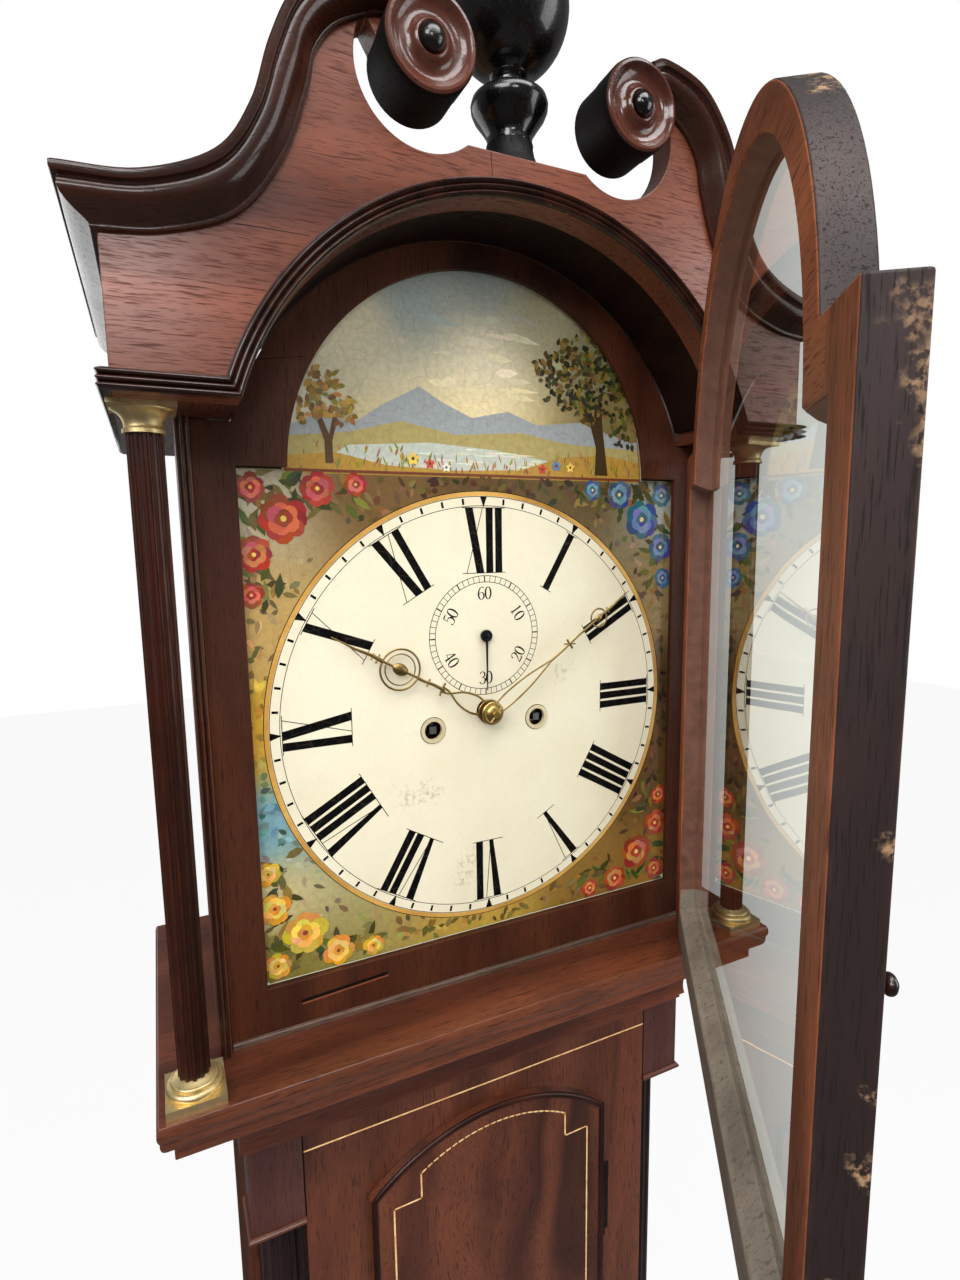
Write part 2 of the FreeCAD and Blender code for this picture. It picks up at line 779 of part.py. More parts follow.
def make_arch_moulding():
    level = s.soffit_height
    width = s.reeding_width
    end = s.frieze_width / 2 + s.reeding_return
    foot = arch_half(s.arch_radius, s.arch_centre, level)
    reed = width / 3

    def band(low, high):
        """A strip of the moulding between two distances from its lower edge."""
        r0 = s.arch_radius + low
        r1 = s.arch_radius + high
        f0 = arch_half(r0, s.arch_centre, level + low)
        f1 = arch_half(r1, s.arch_centre, level + high)
        lower = [edge_of([(-f0, level + low), (0, s.arch_centre + r0), (f0, level + low)])]
        upper = [edge_of([(f1, level + high), (0, s.arch_centre + r1), (-f1, level + high)])]
        sides = [
            [(f0, level + low), (end, level + low)],
            [(end, level + low), (end, level + high)],
            [(end, level + high), (f1, level + high)],
            [(-f1, level + high), (-end, level + high)],
            [(-end, level + high), (-end, level + low)],
            [(-end, level + low), (-f0, level + low)],
        ]
        return lower + upper + [edge_of(side) for side in sides]

    body = doc.addObject("PartDesign::Body", "arch_moulding_body")
    add_pad(body, "arch_moulding_band", band(0, width), "frieze_reach", "0.55 * reeding_proud")
    for i in range(3):
        strip = band(i * reed + 0.12 * reed, (i + 1) * reed - 0.12 * reed)
        add_pad(body, f"arch_moulding_reed_{i}", strip, "frieze_reach", "reeding_proud")
    returns = board_pair(
        "reeding_return_strip",
        (frieze_half, "frieze_width / 2 + reeding_return"),
        ("-frieze_reach", "hood_back"),
        ("soffit_height", "soffit_height + reeding_width"),
    )
    keep(fused("arch_moulding_fuse", [place(body)] + returns), "arch_moulding")
    reveal_outer = s.arch_radius + 1 + s.roof_board
    reveal_inner = s.arch_radius + 0.5
    f0 = arch_half(reveal_inner, s.arch_centre, level + s.soffit_board)
    f1 = arch_half(reveal_outer, s.arch_centre, level + s.soffit_board)
    high = level + s.soffit_board
    ring = [
        edge_of([(-f0, high), (0, s.arch_centre + reveal_inner), (f0, high)]),
        edge_of([(f0, high), (f1, high)]),
        edge_of([(f1, high), (0, s.arch_centre + reveal_outer), (-f1, high)]),
        edge_of([(-f1, high), (-f0, high)]),
    ]
    keep(panel("arch_reveal_ring", ring, "frieze_reach - frieze_board",
               "frieze_reach - frieze_board - mask_reach"), "arch_reveal")
    make_roof(reveal_outer + 1)


def make_roof(inner_radius):
    outer_radius = inner_radius + s.roof_board
    high = s.frieze_top - 1
    low = high - s.roof_board
    edge = s.frieze_width / 2 - s.frieze_board
    f0 = arch_half(inner_radius, s.arch_centre, low)
    f1 = arch_half(outer_radius, s.arch_centre, high)
    skin = [
        edge_of([(-f0, low), (0, s.arch_centre + inner_radius), (f0, low)]),
        edge_of([(f0, low), (edge, low)]),
        edge_of([(edge, low), (edge, high)]),
        edge_of([(edge, high), (f1, high)]),
        edge_of([(f1, high), (0, s.arch_centre + outer_radius), (-f1, high)]),
        edge_of([(-f1, high), (-edge, high)]),
        edge_of([(-edge, high), (-edge, low)]),
        edge_of([(-edge, low), (-f0, low)]),
    ]
    roof = panel("hood_roof_skin", skin, "frieze_reach - frieze_board",
                 "frieze_reach - frieze_board + hood_back - back_board")
    keep(roof, "hood_roof")


def make_swan_necks():
    """The two moulded scrolls of the pediment, each with its return along the side of the hood."""
    outer, inner = neck_edges()
    corner = s.frieze_width / 2
    front = -s.frieze_reach
    proud = s.neck_proud
    profile = [
        (0, 0), (0, 1), (0.14, 1), (0.2, 0.83), (0.42, 0.8), (0.62, 0.55), (0.85, 0.2), (1, 0.14), (1, 0),
    ]
    taper = [1, 1, 1, 1, 1, 1, 1, 0.95]

    def closed(points):
        return Part.makePolygon(points + points[:1])

    def mitre(y_of):
        level, drop = outer[0][1], outer[0][1] - inner[0][1]
        spread = (outer[0][0] - corner) / proud
        return [Vector(corner + d * proud * spread, y_of(d), level - u * drop) for u, d in profile]

    def section(i):
        (ox, oz), (ix, iz) = outer[i], inner[i]
        deep = proud * taper[i]
        return [Vector(ox + u * (ix - ox), front - d * deep, oz + u * (iz - oz)) for u, d in profile]

    start = mitre(lambda d: front - d * proud)
    sections = [closed(start)] + [closed(section(i)) for i in range(1, len(outer))]
    scroll = Part.makeLoft(sections, True, False)
    side = Part.makeLoft([closed(start), closed(mitre(lambda d: s.hood_back))], True, True)
    right = [scroll, side]
    left = [piece.mirror(Vector(), Vector(1, 0, 0)) for piece in right]
    solid_piece("swan_necks", Part.makeCompound(right + left))


def make_paterae():
    r = s.patera_radius
    proud = s.patera_proud
    profile = outline(
        (0, 0),
        (r - 2, 0),
        (r - 2, proud * 0.45),
        (r, proud * 0.55),
        [(r + 0.6, proud * 0.78), (r - 1.5, proud)],
        (r - 4, proud),
        [(r * 0.62, proud * 0.62), (r * 0.42, proud * 0.62)],
        (r * 0.42, proud * 0.78),
        (r * 0.24, proud * 0.78),
        (r * 0.24, proud * 1.1),
        [(r * 0.19, proud * 1.26), (r * 0.06, proud * 1.34)],
        (0, proud * 1.34),
    )
    discs = []
    for side, sign in (("right", ""), ("left", "-")):
        disc = turned(f"patera_{side}", profile)
        disc.Placement = Placement(Vector(), facing_front)
        discs.append(place(disc, f"{sign}patera_x", "-frieze_reach", "patera_z"))
    group("paterae", discs)


def make_finial():
    height = s.finial_base - s.hill_height
    plinth = turned("finial_plinth_turning", outline(
        (0, 0), (21, 0), (21, 3), [(14.5, 0.55 * height), (13.5, height)], (0, height),
    ))
    place(plinth, "0", "-finial_setback", "hill_height")
    ball = s.finial_ball_radius
    centre = 74
    foot = centre - math.sqrt(ball ** 2 - 9 ** 2)
    head = centre + math.sqrt(ball ** 2 - 5 ** 2)
    urn = turned("finial_turning", outline(
        (0, 0),
        (14, 0),
        (14, 2),
        [(24, 14), (15, 27)],
        (15, 30),
        (9, 32),
        (9, foot),
        [(ball, centre), (5, head)],
        (5, head + 4),
        [(7, head + 8), (2, head + 16)],
        (0, head + 16),
    ))
    group("finial", [plinth, place(urn, "0", "-finial_setback", "finial_base")])


def make_mask():
    edge = s.hood_panel_width / 2 - 0.5
    foot = arch_half(s.arch_radius, s.arch_centre, s.soffit_height)
    rise = s.arch_radius
    half_open = s.mask_opening_width / 2
    sill = -s.mask_opening_height / 2
    spring = s.mask_opening_height / 2 + 1
    arch_foot = arch_half(s.mask_arch_radius, s.mask_arch_centre, spring)
    outside = symmetric(
        (edge, -s.hood_base_top),
        (edge, s.soffit_height - 0.5),
        (foot - 1, s.soffit_height - 0.5),
        arch_step(rise, s.arch_centre, s.soffit_height + 1),
    )
    inside = symmetric(
        (half_open, sill),
        (half_open, spring),
        (arch_foot, spring),
        arch_step(s.mask_arch_radius, s.mask_arch_centre, spring),
    )
    keep(panel("dial_mask_board", outside + inside, "mask_reach", "mask_board"), "dial_mask")


def make_columns():
    r = s.column_radius
    count = int(s.column_flutes)
    step = 2 * math.pi / count

    def polar(radius, angle):
        return (radius * math.cos(angle), radius * math.sin(angle))

    steps = []
    for i in range(count):
        steps.append(polar(r, (i + 0.16) * step))
        steps.append([polar(0.86 * r, (i + 0.5) * step), polar(r, (i + 0.84) * step)])
    section = outline(steps[0], *steps[1:])
    capital_low = s.soffit_height - s.capital_height
    base_top = -s.hood_base_top + s.column_base_height
    shafts, capitals, bases = [], [], []
    for side, sign in (("right", ""), ("left", "-")):
        x_text = f"{sign}column_x"
        shaft = doc.addObject("PartDesign::Body", f"column_{side}_shaft")
        length = "soffit_height + hood_base_top - capital_height - column_base_height"
        add_pad(shaft, f"column_{side}_pad", section, "0", length, "XY_Plane")
        shafts.append(place(shaft, x_text, "-column_reach", "column_base_height - hood_base_top"))
        high = s.capital_height
        bell = turned(f"capital_bell_{side}", outline(
            (0, 0), (r + 1.5, 0), (r + 1.5, 2), (r + 0.5, 3), [(r + 2.5, 0.62 * high), (r + 6.5, 0.8 * high)],
            (r + 6.5, high - 2), (0, high - 2),
        ))
        place(bell, x_text, "-column_reach", f"{capital_low}")
        abacus = board(f"capital_abacus_{side}", (f"{x_text} - capital_half", f"{x_text} + capital_half"),
                       ("-column_reach - capital_half", "-column_reach + capital_half"),
                       ("soffit_height - 2.5", "soffit_height"))
        capitals.append(fused(f"capital_{side}", [bell, abacus]))
        tall = s.column_base_height
        torus = turned(f"column_torus_{side}", outline(
            (0, 5), (r + 5.8, 5), [(r + 7.2, 7.5), (r + 5.8, 10)], (r + 3.5, 10),
            [(r + 4.4, 11.2), (r + 3, 12.4)], (r + 1.5, tall), (0, tall),
        ))
        place(torus, x_text, "-column_reach", f"{base_top - tall}")
        block = board(
            f"column_block_{side}",
            (f"{x_text} - column_base_half", f"{x_text} + column_base_half"),
            ("-column_reach - column_base_half", "-column_reach + column_base_half"),
            ("-hood_base_top", "5.5 - hood_base_top"),
        )
        bases.append(fused(f"column_base_{side}", [torus, block]))
    group("columns", shafts)
    group("column_brasses", capitals + bases)


# Hood door, drawn closed from its pivot and stored open
def hang(obj):
    """Hang a piece of the hood door on its pivot, turned to the stored opening."""
    obj.Placement = Placement(Vector(), Rotation(Vector(0, 0, 1), 1))
    place(obj, door_x_text, "-door_pivot_reach", "0")
    return bind(obj, Placement__Rotation__Angle="door_open")


def door_outline(grow):
    """The glazed opening's outline, grown on every side, from the door's pivot line."""
    half = s.door_width / 2 - s.door_stile + grow
    foot = -s.door_foot + s.door_rail - grow
    radius = s.door_arch_radius - s.door_arch_rail + grow
    spring = s.door_arch_centre + grow
    arch_foot = arch_half(radius, s.door_arch_centre, spring)
    shift = -s.door_width / 2 - 1
    edges = symmetric(
        (half, foot),
        (half, spring),
        (arch_foot, spring),
        arch_step(radius, s.door_arch_centre, spring),
    )
    return moved(edges, shift)


def moved(edges, dx):
    for edge in edges:
        edge.translate(Vector(dx, 0, 0))
    return edges


def make_hood_door():
    half = s.door_width / 2
    shift = -half - 1
    outer = moved(symmetric(
        (half, -s.door_foot),
        (half, s.door_shoulder),
        (arch_half(s.door_arch_radius, s.door_arch_centre, s.door_shoulder), s.door_shoulder),
        arch_step(s.door_arch_radius, s.door_arch_centre, s.door_shoulder),
    ), shift)
    frame = doc.addObject("PartDesign::Body", "hood_door_frame_body")
    face = "door_reach - door_pivot_reach"
    add_pad(frame, "hood_door_face", outer + door_outline(0), f"{face} - door_bead", "door_bead")
    add_pad(frame, "hood_door_rebated", outer + door_outline(s.door_rebate), f"{face} - door_board",
            "door_board - door_bead")
    keep(hang(frame), "hood_door_frame")
    pane = doc.addObject("PartDesign::Body", "hood_door_pane")
    seat = door_outline(s.door_rebate - s.touch_gap)
    add_pad(pane, "hood_door_pane_pad", seat, f"{face} - door_bead - glass", "glass")
    keep(hang(pane), "hood_door_glass")
    make_door_knob()
    make_door_pivots()


def make_door_knob():
    r = s.knob_radius
    neck = turned("hood_door_knob_turning", outline(
        (0, 0), (0.8 * r, 0), (0.8 * r, 0.25 * r), (0.5 * r, 0.45 * r),
        [(0.45 * r, 0.9 * r), (0.75 * r, 1.3 * r)], [(r, 1.8 * r), (0.7 * r, 2.3 * r)],
        (0.3 * r, 2.5 * r), (0, 2.5 * r),
    ))
    turn = Rotation(Vector(0, 0, 1), s.door_open)
    spot = turn.multVec(Vector(s.door_stile / 2 - s.door_width, s.door_pivot_reach - s.door_reach, 0))
    neck.Placement = Placement(Vector(), turn * facing_front)
    place(neck, f"{door_x_text} + ({spot.x})", f"-door_pivot_reach + ({spot.y})", "-knob_drop")
    keep(neck, "hood_door_knob")


def make_door_pivots():
    """Cranked strap plates on the door's top and bottom edges, each with a pin in the hood."""
    plate = s.pivot_plate
    pins = []
    foot = -s.door_foot
    reach = s.pivot_reach
    offset = s.door_pivot_reach - s.door_reach
    arch_foot = arch_half(s.door_arch_radius, s.door_arch_centre, s.door_shoulder)
    bar_length = s.door_width / 2 - arch_foot - 2

    def strap(low):
        bar = Part.makeBox(bar_length, s.door_board - 3, plate, Vector(-2 - bar_length, offset + 1.5, low))
        crank = Part.makeBox(10, offset + 6, plate, Vector(-10, 0, low))
        eye = Part.makeCylinder(5, plate, Vector(0, 0, low))
        return [bar, crank, eye]

    top = s.door_shoulder
    pins.append(fuse_all(strap(top) + [Part.makeCylinder(s.pivot_radius, s.soffit_height - top + reach,
                                                         Vector(0, 0, top))]))
    gap = s.hood_base_top - s.door_foot
    pins.append(fuse_all(strap(foot - plate) + [Part.makeCylinder(s.pivot_radius, gap + reach,
                                                                  Vector(0, 0, foot - gap - reach))]))
    straps = doc.addObject("Part::Feature", "hood_door_straps")
    straps.Shape = Part.makeCompound(pins)
    keep(hang(straps), "hood_door_pivots")


# Dial and hands
def make_dial():
    half = s.dial_width / 2
    edges = symmetric(
        (half, -half),
        (half, half - 1),
        (arch_half(s.dial_arch_radius, s.mask_arch_centre, half - 1), half - 1),
        arch_step(s.dial_arch_radius, s.mask_arch_centre, half - 1),
    )
    holes = circle(0, 0, 8) + circle(0, s.seconds_height, 4)
    for side in (1, -1):
        holes += circle(side * s.winding_x, -s.winding_drop, s.collet_radius - 1.2)
    keep(panel("dial_sheet", edges + holes, "0", "dial_plate"), "dial_plate")
    rings = []
    for side in (1, -1):
        x = side * s.winding_x
        flange = cylinder_y(x, -s.winding_drop, s.collet_radius, -0.8, 0)
        sleeve = cylinder_y(x, -s.winding_drop, s.collet_radius - 1.2 - s.touch_gap / 3, -0.4, s.dial_plate)
        bore = cylinder_y(x, -s.winding_drop, s.winding_hole, -2, s.dial_plate + 1)
        rings.append(flange.fuse(sleeve).cut(bore).removeSplitter())
    solid_piece("winding_collets", Part.makeCompound(rings))


def bar_between(a, b, wide_a, wide_b):
    """Corners of a tapering bar in the plane of the dial."""
    length = math.dist(a, b)
    nx, nz = -(b[1] - a[1]) / length, (b[0] - a[0]) / length
    ends = []
    for (x, z), wide in ((a, wide_a / 2), (b, wide_b / 2)):
        ends.append(((x + nx * wide, z + nz * wide), (x - nx * wide, z - nz * wide)))
    return [ends[0][0], ends[1][0], ends[1][1], ends[0][1]]


def hand(reach, ring_share, ring_radius, fork_share, cross_share, hub, bore, front):
    """A pierced brass hand that points up: a fork, a cross bar, a ring and a long tip."""
    ring_at = ring_share * reach
    fork_at = fork_share * reach
    cross_at = cross_share * reach
    back = front + s.hand_thickness
    wire = 1.9
    low = ring_at - ring_radius
    high = ring_at + ring_radius
    shapes = [
        cylinder_y(0, 0, hub, front, back),
        slab(bar_between((hub * 0.7, hub * 0.3), (0.4, fork_at), wire, wire), front, back),
        slab(bar_between((-hub * 0.7, hub * 0.3), (-0.4, fork_at), wire, wire), front, back),
        slab(bar_between((0, fork_at - 2), (0, low + 0.8), 2.2, 1.8), front, back),
        slab(bar_between((-5, cross_at - 1.2), (5, cross_at + 1.2), 1.7, 1.7), front, back),
        cylinder_y(0, ring_at, ring_radius, front, back).cut(
            cylinder_y(0, ring_at, ring_radius - wire, front - 1, back + 1)),
        slab(bar_between((0, low + 0.5), (0, high - 0.5), 1.6, 1.6), front, back),
        cylinder_y(0, ring_at, 0.3 * ring_radius, front, back),
        slab(bar_between((0, high - 0.8), (0, reach), 3, 0.6), front, back),
    ]
    bored = fuse_all(shapes).cut(cylinder_y(0, 0, bore, front - 1, back + 1))
    return bored.removeSplitter()


def turned_about_dial(shape, angle):
    """Turn a shape clockwise about the dial's centre, as a hand turns."""
    copy = shape.copy()
    copy.rotate(Vector(), Vector(0, 1, 0), angle)
    return Part.makeCompound([copy])


hour_hand_front = -6.2
minute_hand_front = -11.2
centre_arbor_radius = 2.5
cannon_pipe_radius = 4.2
hour_pipe_radius = 6.2


def make_hands():
    hour = hand(s.hour_hand_length, 0.5923, 14.5, 0.2923, 0.3231, 9, hour_pipe_radius - 1.2, hour_hand_front)
    solid_piece("hour_hand", turned_about_dial(hour, s.hour_hand_angle))
    minute = hand(s.minute_hand_length, 0.7671, 7, 0.411, 0.5479, 7.5, centre_arbor_radius, minute_hand_front)
    boss = turned("hand_boss", outline(
        (centre_arbor_radius, 0), (8.5, 0), [(7.2, 3.4), (3.6, 5.2)], (centre_arbor_radius, 5.2),
    ))
    boss.Placement = Placement(Vector(), facing_front)
    place(boss, "0", f"{minute_hand_front}", "0")
    pointer = doc.addObject("Part::Feature", "minute_pointer")
    pointer.Shape = turned_about_dial(minute, s.minute_hand_angle)
    pointer.Placement = Placement(dial_point, Rotation())
    group("minute_hand", [pointer, boss])
    z = s.seconds_height
    front = -3.4
    needle = [
        cylinder_y(0, z, 4.6, front, front + 0.8),
        slab(bar_between((0, z), (0, z - 40), 1.8, 0.6), front, front + 0.8),
        cylinder_y(0, z, 2.4, front - 0.8, front + 2),
    ]
    shape = fuse_all(needle).cut(cylinder_y(0, z, 1, front - 1, front + 3))
    solid_piece("seconds_hand", shape)


# Movement
def gear_points(centre, teeth, module, towards, tooth_there, depth=1.3, height=0.85):
    """Corners of a toothed rim with a tooth, or a gap, facing a direction."""
    pitch = 2 * math.pi / teeth
    rim = module * teeth / 2
    phase = towards if tooth_there else towards + pitch / 2
    points = []
    for i in range(int(teeth)):
        angle = phase + i * pitch
        root = rim - depth * module
        for radius, offset in ((root, -0.34), (rim + height * module, 0), (root, 0.34)):
            a = angle + offset * pitch
            points.append((centre[0] + radius * math.cos(a), centre[1] + radius * math.sin(a)))
    return points


def aim(a, b):
    return math.atan2(b[1] - a[1], b[0] - a[0])


def wheel(centre, teeth, module, towards, y0, y1, hub, spokes=4):
    """A crossed-out clock wheel."""
    disc = slab(gear_points(centre, teeth, module, towards, True), y0, y1)
    outer = module * teeth / 2 - 3.4 * module
    if spokes == 0 or outer < 2.2 * hub:
        return disc
    gaps = []
    for i in range(spokes):
        start = towards + (i + 0.12) * 2 * math.pi / spokes
        end = towards + (i + 0.88) * 2 * math.pi / spokes
        middle = (start + end) / 2
        inner = 1.5 * hub

        def at(radius, angle):
            return Vector(centre[0] + radius * math.cos(angle), y0 - 1, centre[1] + radius * math.sin(angle))

        edges = [
            Part.Arc(at(outer, start), at(outer, middle), at(outer, end)).toShape(),
            Part.makeLine(at(outer, end), at(inner, end)),
            Part.Arc(at(inner, end), at(inner, middle), at(inner, start)).toShape(),
            Part.makeLine(at(inner, start), at(outer, start)),
        ]
        gaps.append(Part.Face(Part.Wire(edges)).extrude(Vector(0, y1 - y0 + 2, 0)))
    return disc.cut(gaps)


def pinion(centre, leaves, module, towards, y0, y1):
    return slab(gear_points(centre, leaves, module, towards, False, 1.25, 0.7), y0, y1)


def circle_meet(a, ra, b, rb, side):
    """The point at given distances from two centres."""
    span = math.dist(a, b)
    along = (ra ** 2 - rb ** 2 + span ** 2) / (2 * span)
    off = side * math.sqrt(ra ** 2 - along ** 2)
    ux, uz = (b[0] - a[0]) / span, (b[1] - a[1]) / span
    return (a[0] + along * ux - off * uz, a[1] + along * uz + off * ux)


def train_places():
    """Centres and modules of the two trains, from the winding holes and the seconds dial."""
    t = SimpleNamespace()
    t.great = (s.winding_x, -s.winding_drop)
    t.strike = (-s.winding_x, -s.winding_drop)
    t.centre = (0, 0)
    t.escape = (0, s.seconds_height)
    t.great_module = 2 * math.dist(t.great, t.centre) / (s.great_teeth + s.centre_leaves)
    t.centre_module = s.centre_module
    t.third_module = s.third_module
    reach_a = t.centre_module * (s.centre_teeth + s.third_leaves) / 2
    reach_b = t.third_module * (s.third_teeth + s.escape_leaves) / 2
    t.third = circle_meet(t.centre, reach_a, t.escape, reach_b, -1)
    t.pallet = (0, s.seconds_height + s.anchor_rise)
    reach = t.great_module * (s.strike_great_teeth + s.centre_leaves) / 2
    lean = math.radians(97)
    t.pin = (t.strike[0] + reach * math.cos(lean), t.strike[1] + reach * math.sin(lean))
    t.pin_module = s.pin_module
    reach = t.pin_module * (s.pin_teeth + s.centre_leaves) / 2
    lean = math.radians(65)
    t.gathering = (t.pin[0] + reach * math.cos(lean), t.pin[1] + reach * math.sin(lean))
    t.gathering_module = s.gathering_module
    t.cannon_module = s.cannon_module
    t.hour_module = t.cannon_module * 2 * s.cannon_teeth / (s.hour_teeth + s.motion_leaves)
    t.minute = (0, -t.cannon_module * s.cannon_teeth)
    t.hammer = (-62, 78)
    return t


train = train_places()
front_in = s.plate_front + s.plate
back_in = front_in + s.plate_gap - s.plate
back_out = back_in + s.plate
pivot_radius = 1.5
great_arbor_radius = 4
great_y = back_in - 13
centre_y = front_in + 1.2
third_y = back_in - 6.5
escape_y = front_in + 19
pin_y = back_in - 7
gathering_y = front_in + 9
cannon_y = s.plate_front - 4
hour_y = cannon_y - 5
stud_radius = 0.9


def arbor(centre, radius, y0=None, y1=None):
    """A steel arbor between the plates, with a pivot in each."""
    y0 = front_in + 0.2 if y0 is None else y0
    y1 = back_in - 0.2 if y1 is None else y1
    parts = [cylinder_y(*centre, radius, y0, y1), cylinder_y(*centre, pivot_radius, y1, back_out)]
    if y0 > s.plate_front:
        parts.append(cylinder_y(*centre, pivot_radius, s.plate_front, y0))
    return fuse_all(parts)


def make_frame():
    half = s.plate_width / 2
    small = pivot_radius + s.pivot_gap
    shared = [train.third, train.pin, train.gathering, train.hammer]
    rim = outline((half, -s.plate_foot), (half, s.plate_top), (-half, s.plate_top), (-half, -s.plate_foot))
    front_holes = []
    back_holes = []
    for x, z in shared:
        front_holes += circle(x, z, small)
        back_holes += circle(x, z, small)
    for x, z in (train.great, train.strike):
        front_holes += circle(x, z, great_arbor_radius + s.pivot_gap)
        back_holes += circle(x, z, great_arbor_radius + s.pivot_gap)
    front_holes += circle(*train.centre, centre_arbor_radius + s.pivot_gap)
    back_holes += circle(*train.centre, small)
    front_holes += circle(*train.escape, small)
    back_holes += circle(*train.escape, small)
    front_holes += circle(*train.pallet, small)
    back_holes += circle(*train.pallet, 3)
    front = panel("front_plate", rim + front_holes, "-plate_front", "plate")
    back = panel("back_plate", rim + back_holes, "-plate_front - plate_gap", "plate")
    pillars = []
    for x, z in ((1, 1), (1, -1), (-1, 1), (-1, -1)):
        pillars.append(cylinder_y(x * 50, z * 76 + 12, 3.5, s.dial_plate, s.plate_front))
        z_place = s.plate_top - 10 if z > 0 else -s.plate_foot + 12
        middle = (front_in + back_in) / 2
        waist = 0.62 * s.pillar_radius
        solid = [
            cylinder_y(x * (half - 10), z_place, s.pillar_radius, front_in, front_in + 7),
            cylinder_y(x * (half - 10), z_place, waist, front_in + 7, middle - 3),
            cylinder_y(x * (half - 10), z_place, s.pillar_radius, middle - 3, middle + 3),
            cylinder_y(x * (half - 10), z_place, waist, middle + 3, back_in - 7),
            cylinder_y(x * (half - 10), z_place, s.pillar_radius, back_in - 7, back_in),
        ]
        pillars.append(fuse_all(solid))
    posts = doc.addObject("Part::Feature", "movement_posts")
    posts.Shape = Part.makeCompound(pillars + [minute_stud()])
    posts.Placement = Placement(dial_point, Rotation())
    group("movement_frame", [front, back, posts])


def line_places(side):
    """Where a train's line falls from its barrel, where its sheave hangs, and where the line is tied."""
    lay = s.sheave_radius + s.line_radius + s.touch_gap
    fall = side * s.winding_x - s.barrel_radius - s.line_radius - s.touch_gap
    return fall, fall + lay, fall + 2 * lay


def make_seatboard():
    half = s.trunk_width / 2 - s.side_board
    edges = outline(
        (half, s.seatboard_front), (half, s.seatboard_back),
        (-half, s.seatboard_back), (-half, s.seatboard_front),
    )
    body = doc.addObject("PartDesign::Body", "seatboard_plank")
    holes = []
    for side in (1, -1):
        fall, _, standing = line_places(side)
        holes += outline((fall - 7, s.line_back - 12), (fall + 7, s.line_back - 12),
                         (fall + 7, s.line_back + 12), (fall - 7, s.line_back + 12))
        holes += circle(standing, s.line_back, s.line_radius + s.pivot_gap)
    add_pad(body, "seatboard_pad", edges + holes, "-plate_foot - seatboard", "seatboard", "XY_Plane")
    keep(place(body), "seatboard")


def make_barrel(label, centre):
    x, z = centre
    low = gathering_y
    high = great_y - 1
    drum = [
        cylinder_y(x, z, s.barrel_radius, low + 2, high - 2),
        cylinder_y(x, z, s.barrel_radius + 4, low, low + 2),
        cylinder_y(x, z, s.barrel_radius + 4, high - 2, high),
        cylinder_y(x, z, great_arbor_radius, 6, back_out),
    ]
    square = 2.6
    drum.append(Part.makeBox(2 * square, 6, 2 * square, Vector(x - square, 0.5, z - square)))
    solid_piece(label, fuse_all(drum))


def make_trains():
    t = train
    thin = s.wheel_thickness
    thick = s.great_thickness
    bore = great_arbor_radius + s.pivot_gap
    make_barrel("going_barrel", t.great)
    make_barrel("strike_barrel", t.strike)
    for label, centre, teeth, towards in (
        ("going_great_wheel", t.great, s.great_teeth, aim(t.great, t.centre)),
        ("strike_great_wheel", t.strike, s.strike_great_teeth, aim(t.strike, t.pin)),
    ):
        rim = wheel(centre, teeth, t.great_module, towards, great_y, great_y + thick, 9)
        hub = cylinder_y(*centre, 9, great_y, great_y + thick + 1)
        solid_piece(label, rim.fuse(hub).cut(cylinder_y(*centre, bore, great_y - 1, great_y + thick + 2)))
    centre_parts = [
        arbor(t.centre, centre_arbor_radius, minute_hand_front - 6.6),
        pinion(t.centre, s.centre_leaves, t.great_module, aim(t.centre, t.great), great_y - 2,
               great_y + thick + 2),
        wheel(t.centre, s.centre_teeth, t.centre_module, aim(t.centre, t.third), centre_y,
              centre_y + thin, 4),
    ]
    solid_piece("centre_wheel", Part.makeCompound([fuse_all(centre_parts), cannon_pipe()]))
    third_parts = [
        arbor(t.third, 2),
        pinion(t.third, s.third_leaves, t.centre_module, aim(t.third, t.centre), centre_y - 0.8,
               centre_y + 4),
        wheel(t.third, s.third_teeth, t.third_module, aim(t.third, t.escape), third_y, third_y + thin, 4),
    ]
    solid_piece("third_wheel", fuse_all(third_parts))
    escape_parts = [
        arbor(t.escape, 1.8),
        cylinder_y(*t.escape, 1, -3.4, s.plate_front),
        pinion(t.escape, s.escape_leaves, t.third_module, aim(t.escape, t.third), third_y - 2, third_y + 4),
        slab(escape_points(), escape_y, escape_y + thin),
    ]
    solid_piece("escape_wheel", fuse_all(escape_parts))
    pins = []
    for i in range(8):
        angle = i * math.pi / 4
        x = t.pin[0] + 20 * math.cos(angle)
        z = t.pin[1] + 20 * math.sin(angle)
        pins.append(cylinder_y(x, z, 1, pin_y + thin / 2, pin_y + thin + 3.5))
    pin_parts = [
        arbor(t.pin, 2),
        pinion(t.pin, s.centre_leaves, t.great_module, aim(t.pin, t.strike), great_y - 2,
               great_y + thick + 1),
        wheel(t.pin, s.pin_teeth, t.pin_module, aim(t.pin, t.gathering), pin_y, pin_y + thin, 4, 0),
    ]
    solid_piece("pin_wheel", fuse_all(pin_parts + pins))
    gathering_parts = [
        arbor(t.gathering, 2),
        pinion(t.gathering, s.centre_leaves, t.pin_module, aim(t.gathering, t.pin), pin_y - 2, pin_y + 4),
        wheel(t.gathering, s.gathering_teeth, t.gathering_module, 0, gathering_y, gathering_y + thin, 4),
    ]
    solid_piece("gathering_wheel", fuse_all(gathering_parts))


def escape_points():
    """The thirty undercut teeth of the recoil escape wheel."""
    count = int(s.escape_teeth)
    pitch = 2 * math.pi / count
    root = s.escape_radius - 4.2
    points = []
    for i in range(count):
        a = math.pi / 2 + (i + 0.5) * pitch
        for radius, offset in ((root, -0.30), (s.escape_radius, 0), (root, 0.12)):
            angle = a + offset * pitch
            x, z = train.escape
            points.append((x + radius * math.cos(angle), z + radius * math.sin(angle)))
    return points


